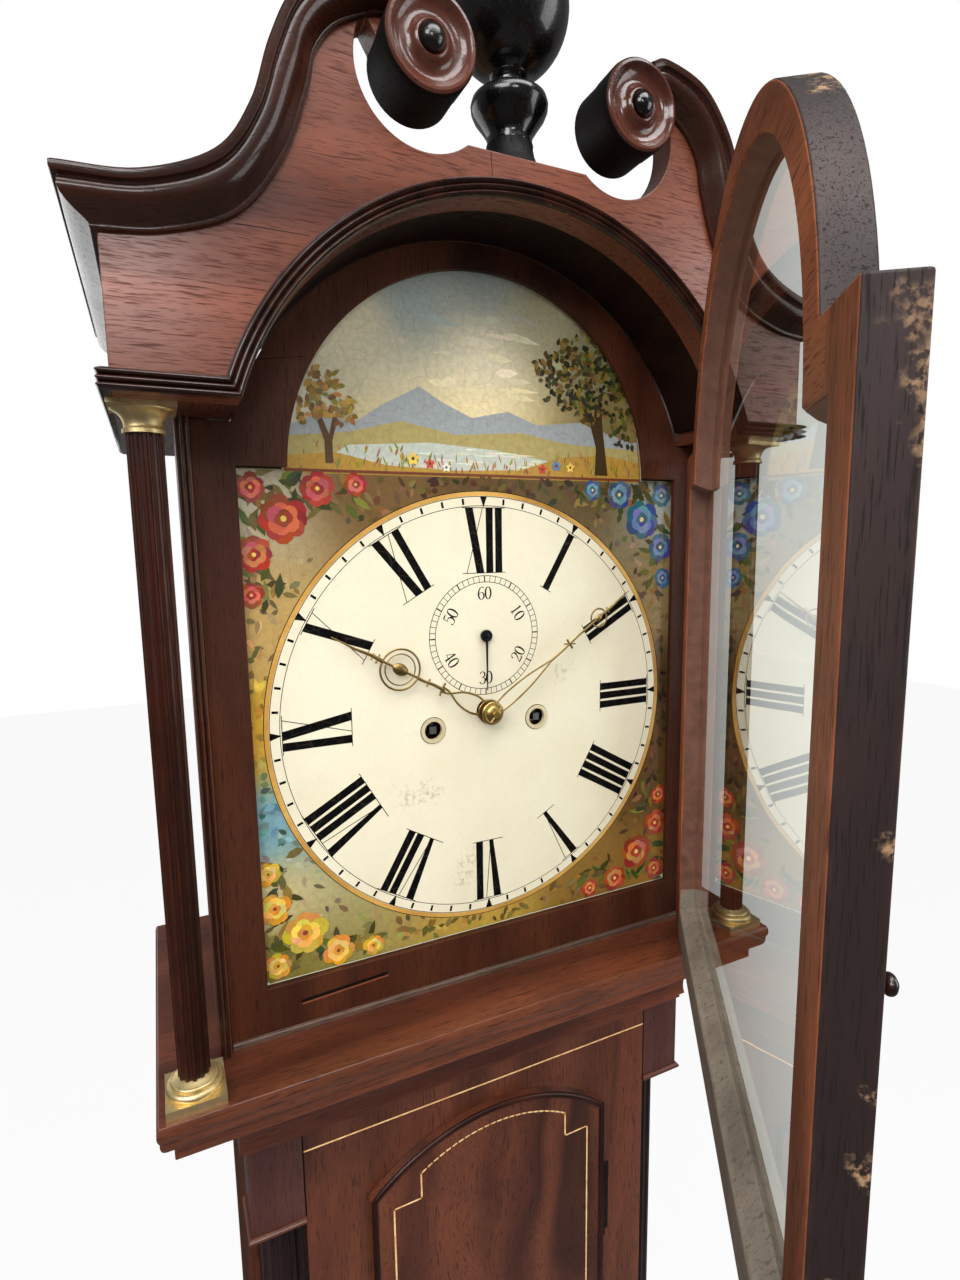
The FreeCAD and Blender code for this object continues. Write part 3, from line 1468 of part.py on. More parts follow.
def cannon_pipe():
    """The pipe on the centre arbor that carries the minute hand and turns the motion work."""
    top = cannon_y + s.wheel_thickness
    rim = wheel(train.centre, s.cannon_teeth, train.cannon_module, -math.pi / 2, cannon_y, top, 4, 0)
    pipe = cylinder_y(0, 0, cannon_pipe_radius, minute_hand_front + s.hand_thickness, cannon_y)
    bore = cylinder_y(0, 0, centre_arbor_radius, minute_hand_front - 2, s.plate_front)
    return rim.fuse(pipe).cut(bore).removeSplitter()


def minute_stud():
    """The fixed stud of the minute wheel on the front plate."""
    stud = cylinder_y(*train.minute, stud_radius, hour_y - 3, s.plate_front)
    collar = cylinder_y(*train.minute, 2.6, cannon_y + s.wheel_thickness + 0.3, s.plate_front)
    return stud.fuse(collar).removeSplitter()


def make_motion_work():
    """The hour wheel behind the dial, and the minute wheel that drives it."""
    t = train
    thin = s.wheel_thickness
    hour = wheel(t.centre, s.hour_teeth, t.hour_module, -math.pi / 2, hour_y, hour_y + thin, 7)
    sleeve = cylinder_y(0, 0, hour_pipe_radius, hour_hand_front + s.hand_thickness, hour_y + thin)
    neck = cylinder_y(0, 0, hour_pipe_radius - 1.2, hour_hand_front, hour_y)
    hollow = cylinder_y(0, 0, cannon_pipe_radius + s.pivot_gap, hour_hand_front - 1, hour_y + thin + 1)
    solid_piece("hour_wheel", fuse_all([hour, sleeve, neck]).cut(hollow).removeSplitter())
    minute_rim = slab(gear_points(t.minute, s.cannon_teeth, t.cannon_module, math.pi / 2, False),
                      cannon_y, cannon_y + thin)
    leaves = slab(gear_points(t.minute, s.motion_leaves, t.hour_module, math.pi / 2, False, 1.25, 0.7),
                  hour_y - 1, cannon_y)
    hole = cylinder_y(*t.minute, stud_radius + s.pivot_gap, hour_y - 2, s.plate_front)
    solid_piece("minute_wheel", minute_rim.fuse(leaves).cut(hole).removeSplitter())


def make_anchor():
    """Anchor with its pallets, arbor and crutch. The pallets stand clear of the escape wheel."""
    px, pz = train.pallet
    ex, ez = train.escape
    tip = s.escape_radius + 1.6

    def pallet(sign):
        spots = []
        for radius, degrees in ((tip, 47), (tip + 5, 50), (tip + 9, 36), (tip + 5, 38)):
            a = math.radians(degrees)
            spots.append((ex + sign * radius * math.sin(a), ez + radius * math.cos(a)))
        return spots

    y0, y1 = escape_y - 1.5, escape_y + 3.5
    left, right = pallet(-1), pallet(1)
    arms = [
        slab([right[0], right[1], right[2], (px, pz + 5), (px, pz - 1), right[3]], y0, y1),
        slab([left[0], left[1], left[2], (px, pz + 5), (px, pz - 1), left[3]], y0, y1),
        cylinder_y(px, pz, 5, y0, y1),
    ]
    staff_end = back_out + 13
    staff = [
        cylinder_y(px, pz, 2, front_in + 0.2, back_out + 9.5),
        cylinder_y(px, pz, pivot_radius, s.plate_front, front_in + 0.2),
        cylinder_y(px, pz, pivot_radius, back_out + 9.5, staff_end),
    ]
    crutch_y = back_out + 4
    foot = -10
    half_fork = s.rod_radius + 0.8
    crutch = [
        cylinder_y(px, pz, 4, crutch_y, crutch_y + 4),
        Part.makeBox(3, 3, pz - foot, Vector(px - 1.5, crutch_y, foot)),
        Part.makeBox(2 * half_fork + 6, 3, 4, Vector(px - half_fork - 3, crutch_y, foot - 2)),
    ]
    for sign in (1, -1):
        left_edge = px + sign * (half_fork + 1.5) - 1.5
        corner = Vector(left_edge, crutch_y, foot - 2)
        crutch.append(Part.makeBox(3, s.pendulum_back + 6 - crutch_y, 4, corner))
    solid_piece("anchor", fuse_all(arms + staff + crutch))
    cock_y = back_out + 10
    cock = [
        Part.makeBox(50, 3, 12, Vector(-25, back_out, pz + 8)),
        Part.makeBox(8, cock_y + 3 - back_out, 12, Vector(-25, back_out, pz + 8)),
        Part.makeBox(8, cock_y + 3 - back_out, 12, Vector(17, back_out, pz + 8)),
        Part.makeBox(50, 3, 18, Vector(-25, cock_y, pz + 2)),
        Part.makeBox(16, 3, 16, Vector(-8, cock_y, pz - 8)),
        Part.makeBox(12, s.pendulum_back + 4 - cock_y, 14, Vector(-6, cock_y, pz + 2)),
    ]
    hole = cylinder_y(px, pz, pivot_radius + s.pivot_gap, cock_y - 1, cock_y + 5)
    solid_piece("back_cock", fuse_all(cock).cut(hole))


def make_pendulum():
    px, pz = train.pallet
    y = s.pendulum_back
    top = pz + 2 - s.touch_gap
    low = pz - s.pendulum_length
    spring = Part.makeBox(7, 0.4, 30, Vector(-3.5, y - 0.2, top - 30))
    block = Part.makeBox(2 * s.rod_radius, 6, 14, Vector(-s.rod_radius, y - 3, top - 40))
    rod = Part.makeCylinder(s.rod_radius, top - 32 - (low - s.bob_radius - 22),
                            Vector(0, y, low - s.bob_radius - 22))
    solid_piece("pendulum_rod", fuse_all([spring, block, rod]))
    half = s.bob_thickness / 2
    bob = turned("pendulum_bob_lens", outline(
        (0, -half), [(0.62 * s.bob_radius, -0.62 * half), (s.bob_radius, -1)], (s.bob_radius, 1),
        [(0.62 * s.bob_radius, 0.62 * half), (0, half)],
    ))
    bob.Placement = Placement(Vector(), facing_front)
    place(bob, "0", "pendulum_back", f"{pz} - pendulum_length")
    channel = doc.addObject("Part::Cylinder", "pendulum_bob_channel")
    bind(channel, Radius="rod_radius + pivot_gap", Height="3 * bob_radius")
    place(channel, "0", "pendulum_back", f"{pz} - pendulum_length - 1.5 * bob_radius")
    bored = cut("pendulum_bob_bored", bob, channel)
    nut = turned("rating_nut_turning", outline(
        (s.rod_radius + s.pivot_gap, 0), (8, 0), (9, 1.5), (9, 6.5), (8, 8), (s.rod_radius + s.pivot_gap, 8),
    ))
    place(nut, "0", "pendulum_back", f"{pz} - pendulum_length - bob_radius - 8")
    group("pendulum_bob", [bored, nut])


def make_weights():
    """Each weight hangs from a sheave on a line between its barrel and the seatboard, run down."""
    lay = s.sheave_radius + s.line_radius + s.touch_gap
    y = s.line_back
    low = floor_z + s.weight_clear
    top = low + s.weight_height
    axle_z = top + 66
    for name, sign in (("going", 1), ("strike", -1)):
        fall, x, standing = line_places(sign)
        body = [
            Part.makeCylinder(s.weight_radius, s.weight_height, Vector(x, y, low)),
            Part.makeCylinder(3, 20, Vector(x, y, top)),
            Part.makeTorus(8, 2, Vector(x, y, top + 24), Vector(0, 1, 0)),
        ]
        cheeks = [
            Part.makeBox(10, 2, 50, Vector(x - 5, y - 7, axle_z - 30)),
            Part.makeBox(10, 2, 50, Vector(x - 5, y + 5, axle_z - 30)),
            Part.makeBox(10, 14, 3, Vector(x - 5, y - 7, axle_z - 33)),
            cylinder_y(x, axle_z, 2.5, y - 8, y + 8),
            Part.makeTorus(7.4, 1.6, Vector(x, y, axle_z - 30.5), Vector(1, 0, 0)),
        ]
        solid_piece(f"{name}_weight", Part.makeCompound([fuse_all(body), fuse_all(cheeks)]))
        groove = s.sheave_radius
        rim = groove + 3
        sheave = [
            cylinder_y(x, axle_z, groove, y - 4, y + 4),
            cylinder_y(x, axle_z, rim, y - 4, y - 1.6),
            cylinder_y(x, axle_z, rim, y + 1.6, y + 4),
        ]
        bore = cylinder_y(x, axle_z, 2.5 + s.pivot_gap, y - 5, y + 5)
        solid_piece(f"{name}_sheave", fuse_all(sheave).cut(bore))
        barrel_z = -s.winding_drop
        seat_top = -s.plate_foot
        run = Part.makeCylinder(s.line_radius, barrel_z - axle_z, Vector(fall, y, axle_z))
        tail = Part.makeCylinder(s.line_radius, seat_top - axle_z, Vector(standing, y, axle_z))
        loop = Part.makeTorus(lay, s.line_radius, Vector(x, y, axle_z), Vector(0, 1, 0))
        under = Part.makeBox(4 * lay, 4 * lay, 2 * lay, Vector(x - 2 * lay, y - 2 * lay, axle_z - 2 * lay))
        knot = Part.makeSphere(2.4, Vector(standing, y, seat_top + 2.2))
        line = fuse_all([run, tail, loop.common(under), knot])
        solid_piece(f"{name}_line", line)


def make_bell():
    x = s.bell_x
    r = s.bell_radius
    y = back_out - r - 5
    mouth = s.bell_mouth
    wall = 2.2
    crown = 34
    cup = turned("bell_cup", outline(
        (3.3, crown - wall), (0.35 * r, crown - wall),
        [(0.78 * r, 0.62 * crown), (0.86 * r, 0.34 * crown)],
        (r - wall, 0),
        (r, 0),
        [(0.92 * r, 0.38 * crown), (0.84 * r, 0.68 * crown)],
        [(0.66 * r, 0.93 * crown), (0.35 * r, crown)],
        (3.3, crown),
    ))
    keep(place(cup, f"{x}", f"{y}", f"{mouth}"), "bell")
    top = mouth + crown
    post_y = back_out
    stand = [
        Part.makeBox(10, 4, top + 5 - 64, Vector(x - 5, post_y, 64)),
        Part.makeBox(10, post_y + 4 - y + 6, 4, Vector(x - 5, y - 6, top + 1)),
        Part.makeCylinder(2.9, 12, Vector(x, y, top - 6)),
        Part.makeCylinder(6, 2.5, Vector(x, y, top - wall - 2.7)),
        Part.makeCylinder(5, 1, Vector(x, y, top)),
    ]
    solid_piece("bell_stand", fuse_all(stand))
    hx, hz = train.hammer
    head_x = x - r - 5
    head_z = mouth + 5
    arm = slab(bar_between((hx, hz), (head_x, head_z), 5, 3.5), y - 1.5, y + 1.5)
    head = Part.makeCylinder(5, 9, Vector(head_x - 6, y, head_z), Vector(1, 0, 0))
    tail = slab(bar_between((hx, hz), (-55, 49), 4, 3), pin_y + 2.1, pin_y + 5)
    solid_piece("hammer", fuse_all([arbor(train.hammer, 2), arm, head, tail]))


make_base()
make_trunk()
make_throat()
make_trunk_door()
make_hood_base()
make_hood_sides()
make_frieze()
make_arch_moulding()
make_swan_necks()
make_paterae()
make_finial()
make_mask()
make_columns()
make_hood_door()
make_dial()
make_hands()
make_frame()
make_seatboard()
make_trains()
make_motion_work()
make_anchor()
make_pendulum()
make_weights()
make_bell()

doc.recompute()
for obj in doc.Objects:
    if "Invalid" in obj.State or "Error" in obj.State:
        raise RuntimeError(f"{obj.Label} failed: {obj.State}")
for node in nodes:
    if node.Shape.isNull() or not node.Shape.isValid():
        raise RuntimeError(f"{node.Label} has no valid shape")

os.makedirs("parts", exist_ok=True)
for node in nodes:
    node.Shape.exportStep(f"parts/{node.Label}.step")
print(len(nodes), "sub-parts written")
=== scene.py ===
import json
import math
import random
import bmesh
import bpy
from mathutils import Matrix, Vector


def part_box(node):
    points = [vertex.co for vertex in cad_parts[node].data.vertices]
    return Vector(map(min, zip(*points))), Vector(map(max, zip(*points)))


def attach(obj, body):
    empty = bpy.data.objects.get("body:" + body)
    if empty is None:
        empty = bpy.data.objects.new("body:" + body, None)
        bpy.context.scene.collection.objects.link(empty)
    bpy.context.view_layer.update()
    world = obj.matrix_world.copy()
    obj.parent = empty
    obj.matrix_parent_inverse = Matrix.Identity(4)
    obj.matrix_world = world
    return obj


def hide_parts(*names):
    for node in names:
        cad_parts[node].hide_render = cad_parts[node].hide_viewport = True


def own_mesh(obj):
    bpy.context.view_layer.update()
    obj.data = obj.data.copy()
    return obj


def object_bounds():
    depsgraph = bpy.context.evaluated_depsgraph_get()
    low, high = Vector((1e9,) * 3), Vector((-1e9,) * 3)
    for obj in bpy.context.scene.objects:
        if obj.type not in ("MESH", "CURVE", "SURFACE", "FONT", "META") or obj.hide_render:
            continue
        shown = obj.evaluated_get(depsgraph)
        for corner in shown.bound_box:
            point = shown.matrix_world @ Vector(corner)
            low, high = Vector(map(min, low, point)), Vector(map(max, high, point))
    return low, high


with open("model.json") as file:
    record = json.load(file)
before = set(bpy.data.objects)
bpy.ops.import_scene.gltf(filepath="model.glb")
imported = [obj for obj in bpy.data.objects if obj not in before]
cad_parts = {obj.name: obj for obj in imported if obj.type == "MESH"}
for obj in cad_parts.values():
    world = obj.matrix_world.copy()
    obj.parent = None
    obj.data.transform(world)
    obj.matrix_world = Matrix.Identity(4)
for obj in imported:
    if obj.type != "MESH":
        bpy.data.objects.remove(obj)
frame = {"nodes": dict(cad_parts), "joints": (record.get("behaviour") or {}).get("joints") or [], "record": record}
cadBounds = [list(corner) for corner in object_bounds()]
record = frame["record"]
nodes = frame["nodes"]
bodyOf = {node: body for body, names in record["behaviour"]["bodies"].items() for node in names}
slotOf = {row["node"]: row["material_slot"] for row in record["subparts"]}
mm = 0.001

# The dial's centre, from which the visible pieces are laid out in millimetres: x right, y back, z up
plateLow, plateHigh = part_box("dial_plate")
dialHalf = (plateHigh.x - plateLow.x) / 2
dialFace = plateLow.y
dialMiddle = plateLow.z + dialHalf


def at(x, y, z):
    return Vector((x * mm, dialFace + y * mm, dialMiddle + z * mm))


# Shader helpers
def feed(tree, inputs, values):
    for key, value in values.items():
        if isinstance(value, bpy.types.NodeSocket):
            tree.links.new(value, inputs[key])
        else:
            inputs[key].default_value = value


def add(tree, kind, values=None, **settings):
    made = tree.nodes.new(kind)
    for key, value in settings.items():
        setattr(made, key, value)
    feed(tree, made.inputs, values or {})
    return made


def calc(tree, operation, a, b, clamp=False):
    made = add(tree, "ShaderNodeMath", {0: a, 1: b}, operation=operation, use_clamp=clamp)
    return made.outputs[0]


def times(tree, a, b):
    return calc(tree, "MULTIPLY", a, b)


def vectorCalc(tree, operation, a, b):
    second = "Scale" if operation == "SCALE" else 1
    made = add(tree, "ShaderNodeVectorMath", {0: a, second: b}, operation=operation)
    return made.outputs["Value" if operation in ("DOT_PRODUCT", "DISTANCE") else "Vector"]


def scaled(tree, vector, factors):
    return vectorCalc(tree, "MULTIPLY", vector, factors)


def mixed(tree, factor, a, b, mode="MIX"):
    made = add(tree, "ShaderNodeMix", {0: factor, 6: a, 7: b}, data_type="RGBA", blend_type=mode)
    return made.outputs[2]


def noise(tree, vector, scale, detail=3.0, roughness=0.55, distortion=0.0):
    made = add(tree, "ShaderNodeTexNoise", {
        "Vector": vector, "Scale": scale,
        "Detail": detail, "Roughness": roughness, "Distortion": distortion,
    })
    return made.outputs[0]


def between(tree, value, low, high, toLow=0.0, toHigh=1.0):
    made = add(tree, "ShaderNodeMapRange", {0: value, 1: low, 2: high, 3: toLow, 4: toHigh}, clamp=True)
    return made.outputs[0]


def bumped(tree, height, strength, distance):
    made = add(tree, "ShaderNodeBump", {"Height": height, "Strength": strength, "Distance": distance * mm})
    return made.outputs[0]


def newGroup(name, inputs, outputs):
    group = bpy.data.node_groups.new(name, "ShaderNodeTree")
    for label, kind, value in inputs:
        socket = group.interface.new_socket(label, in_out="INPUT", socket_type=kind)
        if value is not None:
            socket.default_value = value
    for label, kind in outputs:
        group.interface.new_socket(label, in_out="OUTPUT", socket_type=kind)
    source = group.nodes.new("NodeGroupInput").outputs
    target = group.nodes.new("NodeGroupOutput").inputs
    return group, source, target


def useGroup(tree, group, values):
    made = add(tree, "ShaderNodeGroup", node_tree=group)
    feed(tree, made.inputs, values)
    return made.outputs


def newMaterial(name):
    material = bpy.data.materials.new(name)
    material.use_nodes = True
    tree = material.node_tree
    return material, tree, tree.nodes["Principled BSDF"].inputs


def attributeVector(tree, name):
    return add(tree, "ShaderNodeAttribute", attribute_name=name).outputs["Vector"]


def attributeColor(tree, name):
    return add(tree, "ShaderNodeAttribute", attribute_name=name).outputs["Color"]


def objectPoint(tree):
    return add(tree, "ShaderNodeTexCoord").outputs["Object"]


# Shared surface effects
def makeWoodFigure():
    group, source, target = newGroup("woodFigure", [
        ("Grain", "NodeSocketVector", None),
        ("Dark", "NodeSocketColor", (0.03, 0.01, 0.006, 1)),
        ("Middle", "NodeSocketColor", (0.12, 0.04, 0.02, 1)),
        ("Light", "NodeSocketColor", (0.24, 0.1, 0.05, 1)),
        ("Ribbon", "NodeSocketFloat", 0.5),
        ("Swirl", "NodeSocketFloat", 0.0),
        ("Flecks", "NodeSocketFloat", 0.0),
    ], [("Color", "NodeSocketColor"), ("Height", "NodeSocketFloat"), ("Pores", "NodeSocketFloat")])
    slow = scaled(group, source["Grain"], (9, 9, 5))
    wander = add(group, "ShaderNodeTexNoise", {"Vector": slow, "Scale": 1, "Detail": 2}).outputs[1]
    bend = vectorCalc(group, "SCALE", wander, source["Swirl"])
    grain = vectorCalc(group, "ADD", source["Grain"], bend)

    def dots(across, lengthways, detail, low, high):
        texture = noise(group, scaled(group, grain, (across, across, lengthways)), 1, detail, 0.5)
        return between(group, texture, low, high)

    cloud = noise(group, scaled(group, grain, (13, 13, 2.6)), 1, 4, 0.55, 0.9)
    ribbon = add(group, "ShaderNodeTexWave", {
        "Vector": scaled(group, grain, (4.5, 4.5, 0.5)),
        "Scale": 1, "Distortion": 6, "Detail": 3, "Detail Scale": 1.2,
    }).outputs[1]
    fibre = noise(group, scaled(group, grain, (520, 520, 12)), 1, 3, 0.6)
    fine = dots(1700, 90, 1, 0.6, 0.7)
    coarse = dots(760, 50, 1, 0.61, 0.7)
    dashes = times(group, dots(640, 85, 2, 0.57, 0.66), source["Flecks"])
    pores = calc(group, "MAXIMUM", calc(group, "MAXIMUM", fine, coarse), dashes)
    base = mixed(group, between(group, cloud, 0.3, 0.68), source["Dark"], source["Middle"])
    ribbonShare = times(group, between(group, ribbon, 0.3, 1), source["Ribbon"])
    base = mixed(group, ribbonShare, base, source["Light"])
    streak = between(group, fibre, 0.25, 0.75, 0.86, 1.1)
    base = mixed(group, 1.0, base, streak, "MULTIPLY")
    color = mixed(group, times(group, pores, 0.75), base, source["Dark"])
    height = calc(group, "SUBTRACT", times(group, fibre, 0.35), pores)
    feed(group, target, {"Color": color, "Height": height, "Pores": pores})
    return group


def makeWornEdge():
    group, source, target = newGroup("wornEdge", [
        ("Radius", "NodeSocketFloat", 0.002),
        ("Breakup", "NodeSocketFloat", 60.0),
    ], [("Edge", "NodeSocketFloat")])
    rounded = add(group, "ShaderNodeBevel", {"Radius": source["Radius"]}, samples=4).outputs[0]
    flat = add(group, "ShaderNodeNewGeometry").outputs["Normal"]
    edge = between(group, vectorCalc(group, "DOT_PRODUCT", rounded, flat), 0.99, 0.86)
    patches = noise(group, objectPoint(group), source["Breakup"], 4, 0.6)
    feed(group, target, {"Edge": times(group, edge, between(group, patches, 0.42, 0.62))})
    return group


def makeGrime():
    group, source, target = newGroup("grime", [
        ("Size", "NodeSocketFloat", 9.0),
    ], [("Cloud", "NodeSocketFloat"), ("Specks", "NodeSocketFloat"), ("Scratches", "NodeSocketFloat")])
    point = objectPoint(group)
    cloud = noise(group, point, source["Size"], 5, 0.62, 0.4)
    specks = between(group, noise(group, point, 420, 2, 0.5), 0.68, 0.74)
    scratches = noise(group, scaled(group, point, (900, 900, 40)), 1, 2, 0.6, 1.6)
    feed(group, target, {"Cloud": cloud, "Specks": specks, "Scratches": scratches})
    return group


woodFigure = makeWoodFigure()
wornEdge = makeWornEdge()
grime = makeGrime()


def shade(r, g, b):
    def linear(value):
        value = value / 255
        return value / 12.92 if value <= 0.04045 else ((value + 0.055) / 1.055) ** 2.4
    return (linear(r), linear(g), linear(b), 1)


def spot(tree, centre, radius):
    # one at the middle of a place on the piece, fading to nothing at its radius
    point = objectPoint(tree)
    ragged = add(tree, "ShaderNodeTexNoise", {"Vector": point, "Scale": 700 / radius, "Detail": 3}).outputs[1]
    shift = vectorCalc(tree, "SUBTRACT", ragged, (0.5, 0.5, 0.5))
    reach = vectorCalc(tree, "SCALE", shift, radius * mm * 3)
    away = vectorCalc(tree, "DISTANCE", vectorCalc(tree, "ADD", point, reach), centre)
    return between(tree, away, radius * mm, radius * mm * 0.4)


# Materials
def polishedWood(name, look):
    material, tree, shader = newMaterial(name)
    dark, light = shade(*look["dark"]), shade(*look["light"])
    figure = useGroup(tree, woodFigure, {
        "Grain": attributeVector(tree, "grain"),
        "Dark": dark, "Middle": shade(*look["middle"]), "Light": light,
        "Ribbon": look["ribbon"], "Swirl": look.get("swirl", 0.0), "Flecks": look.get("flecks", 0.0),
    })
    dirt = useGroup(tree, grime, {"Size": 9.0})
    edge = useGroup(tree, wornEdge, {"Radius": look.get("edge", 0.0015)})["Edge"]
    stain = between(tree, dirt["Cloud"], 0.5, 0.72, 0, look.get("stain", 0.4))
    color = mixed(tree, stain, figure["Color"], dark)
    color = mixed(tree, times(tree, edge, look.get("rub", 0.3)), color, light)
    for centre, radius in look.get("spots", []):
        flakes = between(tree, noise(tree, objectPoint(tree), 420, 4, 0.6), 0.44, 0.6)
        bare = times(tree, spot(tree, centre, radius), flakes)
        color = mixed(tree, times(tree, bare, 0.7), color, shade(*look["bare"]))
    gloss = between(tree, dirt["Cloud"], 0.35, 0.7, look["rough"] - 0.06, look["rough"] + 0.1)
    filled = calc(tree, "SUBTRACT", 1.0, times(tree, figure["Pores"], look.get("open", 0.1)))
    bump = look.get("bump", 0.5)
    feed(tree, shader, {
        "Base Color": color,
        "Roughness": calc(tree, "ADD", gloss, times(tree, figure["Pores"], 0.2)),
        "Specular IOR Level": times(tree, filled, look.get("specular", 0.35)),
        "Coat Weight": times(tree, filled, look.get("coat", 0.35)),
        "Coat Roughness": look.get("coatRough", 0.16),
        "Normal": bumped(tree, figure["Height"], bump, 0.05),
        "Coat Normal": bumped(tree, figure["Height"], bump * 0.4, 0.05),
    })
    return material


def plainMetal(name, look):
    material, tree, shader = newMaterial(name)
    dull = shade(*look["dull"])
    dirt = useGroup(tree, grime, {"Size": 60.0})
    edge = useGroup(tree, wornEdge, {"Radius": 0.0006, "Breakup": 220.0})["Edge"]
    tarnish = between(tree, dirt["Cloud"], 0.42, 0.7, 0, look["tarnish"])
    color = mixed(tree, tarnish, shade(*look["color"]), dull)
    color = mixed(tree, times(tree, dirt["Specks"], 0.5), color, dull)
    color = mixed(tree, times(tree, edge, 0.5), color, shade(*look["bright"]))
    gloss = between(tree, dirt["Scratches"], 0.3, 0.7, look["rough"] - 0.05, look["rough"] + 0.07)
    feed(tree, shader, {
        "Base Color": color,
        "Metallic": look.get("metal", 1.0),
        "Roughness": calc(tree, "ADD", gloss, times(tree, tarnish, 0.2)),
        "Normal": bumped(tree, dirt["Scratches"], look.get("bump", 0.12), 0.03),
    })
    return material


def mottled(name, look):
    # two tones that change over with a noise, for gut, stringing and putty
    material, tree, shader = newMaterial(name)
    point = scaled(tree, objectPoint(tree), look["scale"])
    lumps = noise(tree, point, 1, look["detail"], look["breakup"])
    low, high = look["change"]
    dark, light = look["tones"]
    feed(tree, shader, {
        "Base Color": mixed(tree, between(tree, lumps, low, high), shade(*dark), shade(*light)),
        "Roughness": between(tree, lumps, 0.3, 0.7, *look["rough"]),
        "Coat Weight": look.get("coat", 0.0),
        "Normal": bumped(tree, lumps, *look["bump"]),
    })
    return material


# The hood door stands open: its pieces are laid out as on the closed door and turned about its pin
doorJoint = [joint for joint in frame["joints"] if joint["name"] == "hood_door_hinge"][0]
doorPin = Vector(doorJoint["pos_m"])
doorOpen = math.radians(54.3)
doorTurn = Matrix.Rotation(doorOpen, 3, "Z")


def onDoor(x, y, z):
    swung = doorTurn @ Vector((x * mm - doorPin.x, dialFace + y * mm - doorPin.y, 0))
    return Vector((doorPin.x + swung.x, doorPin.y + swung.y, dialMiddle + z * mm))


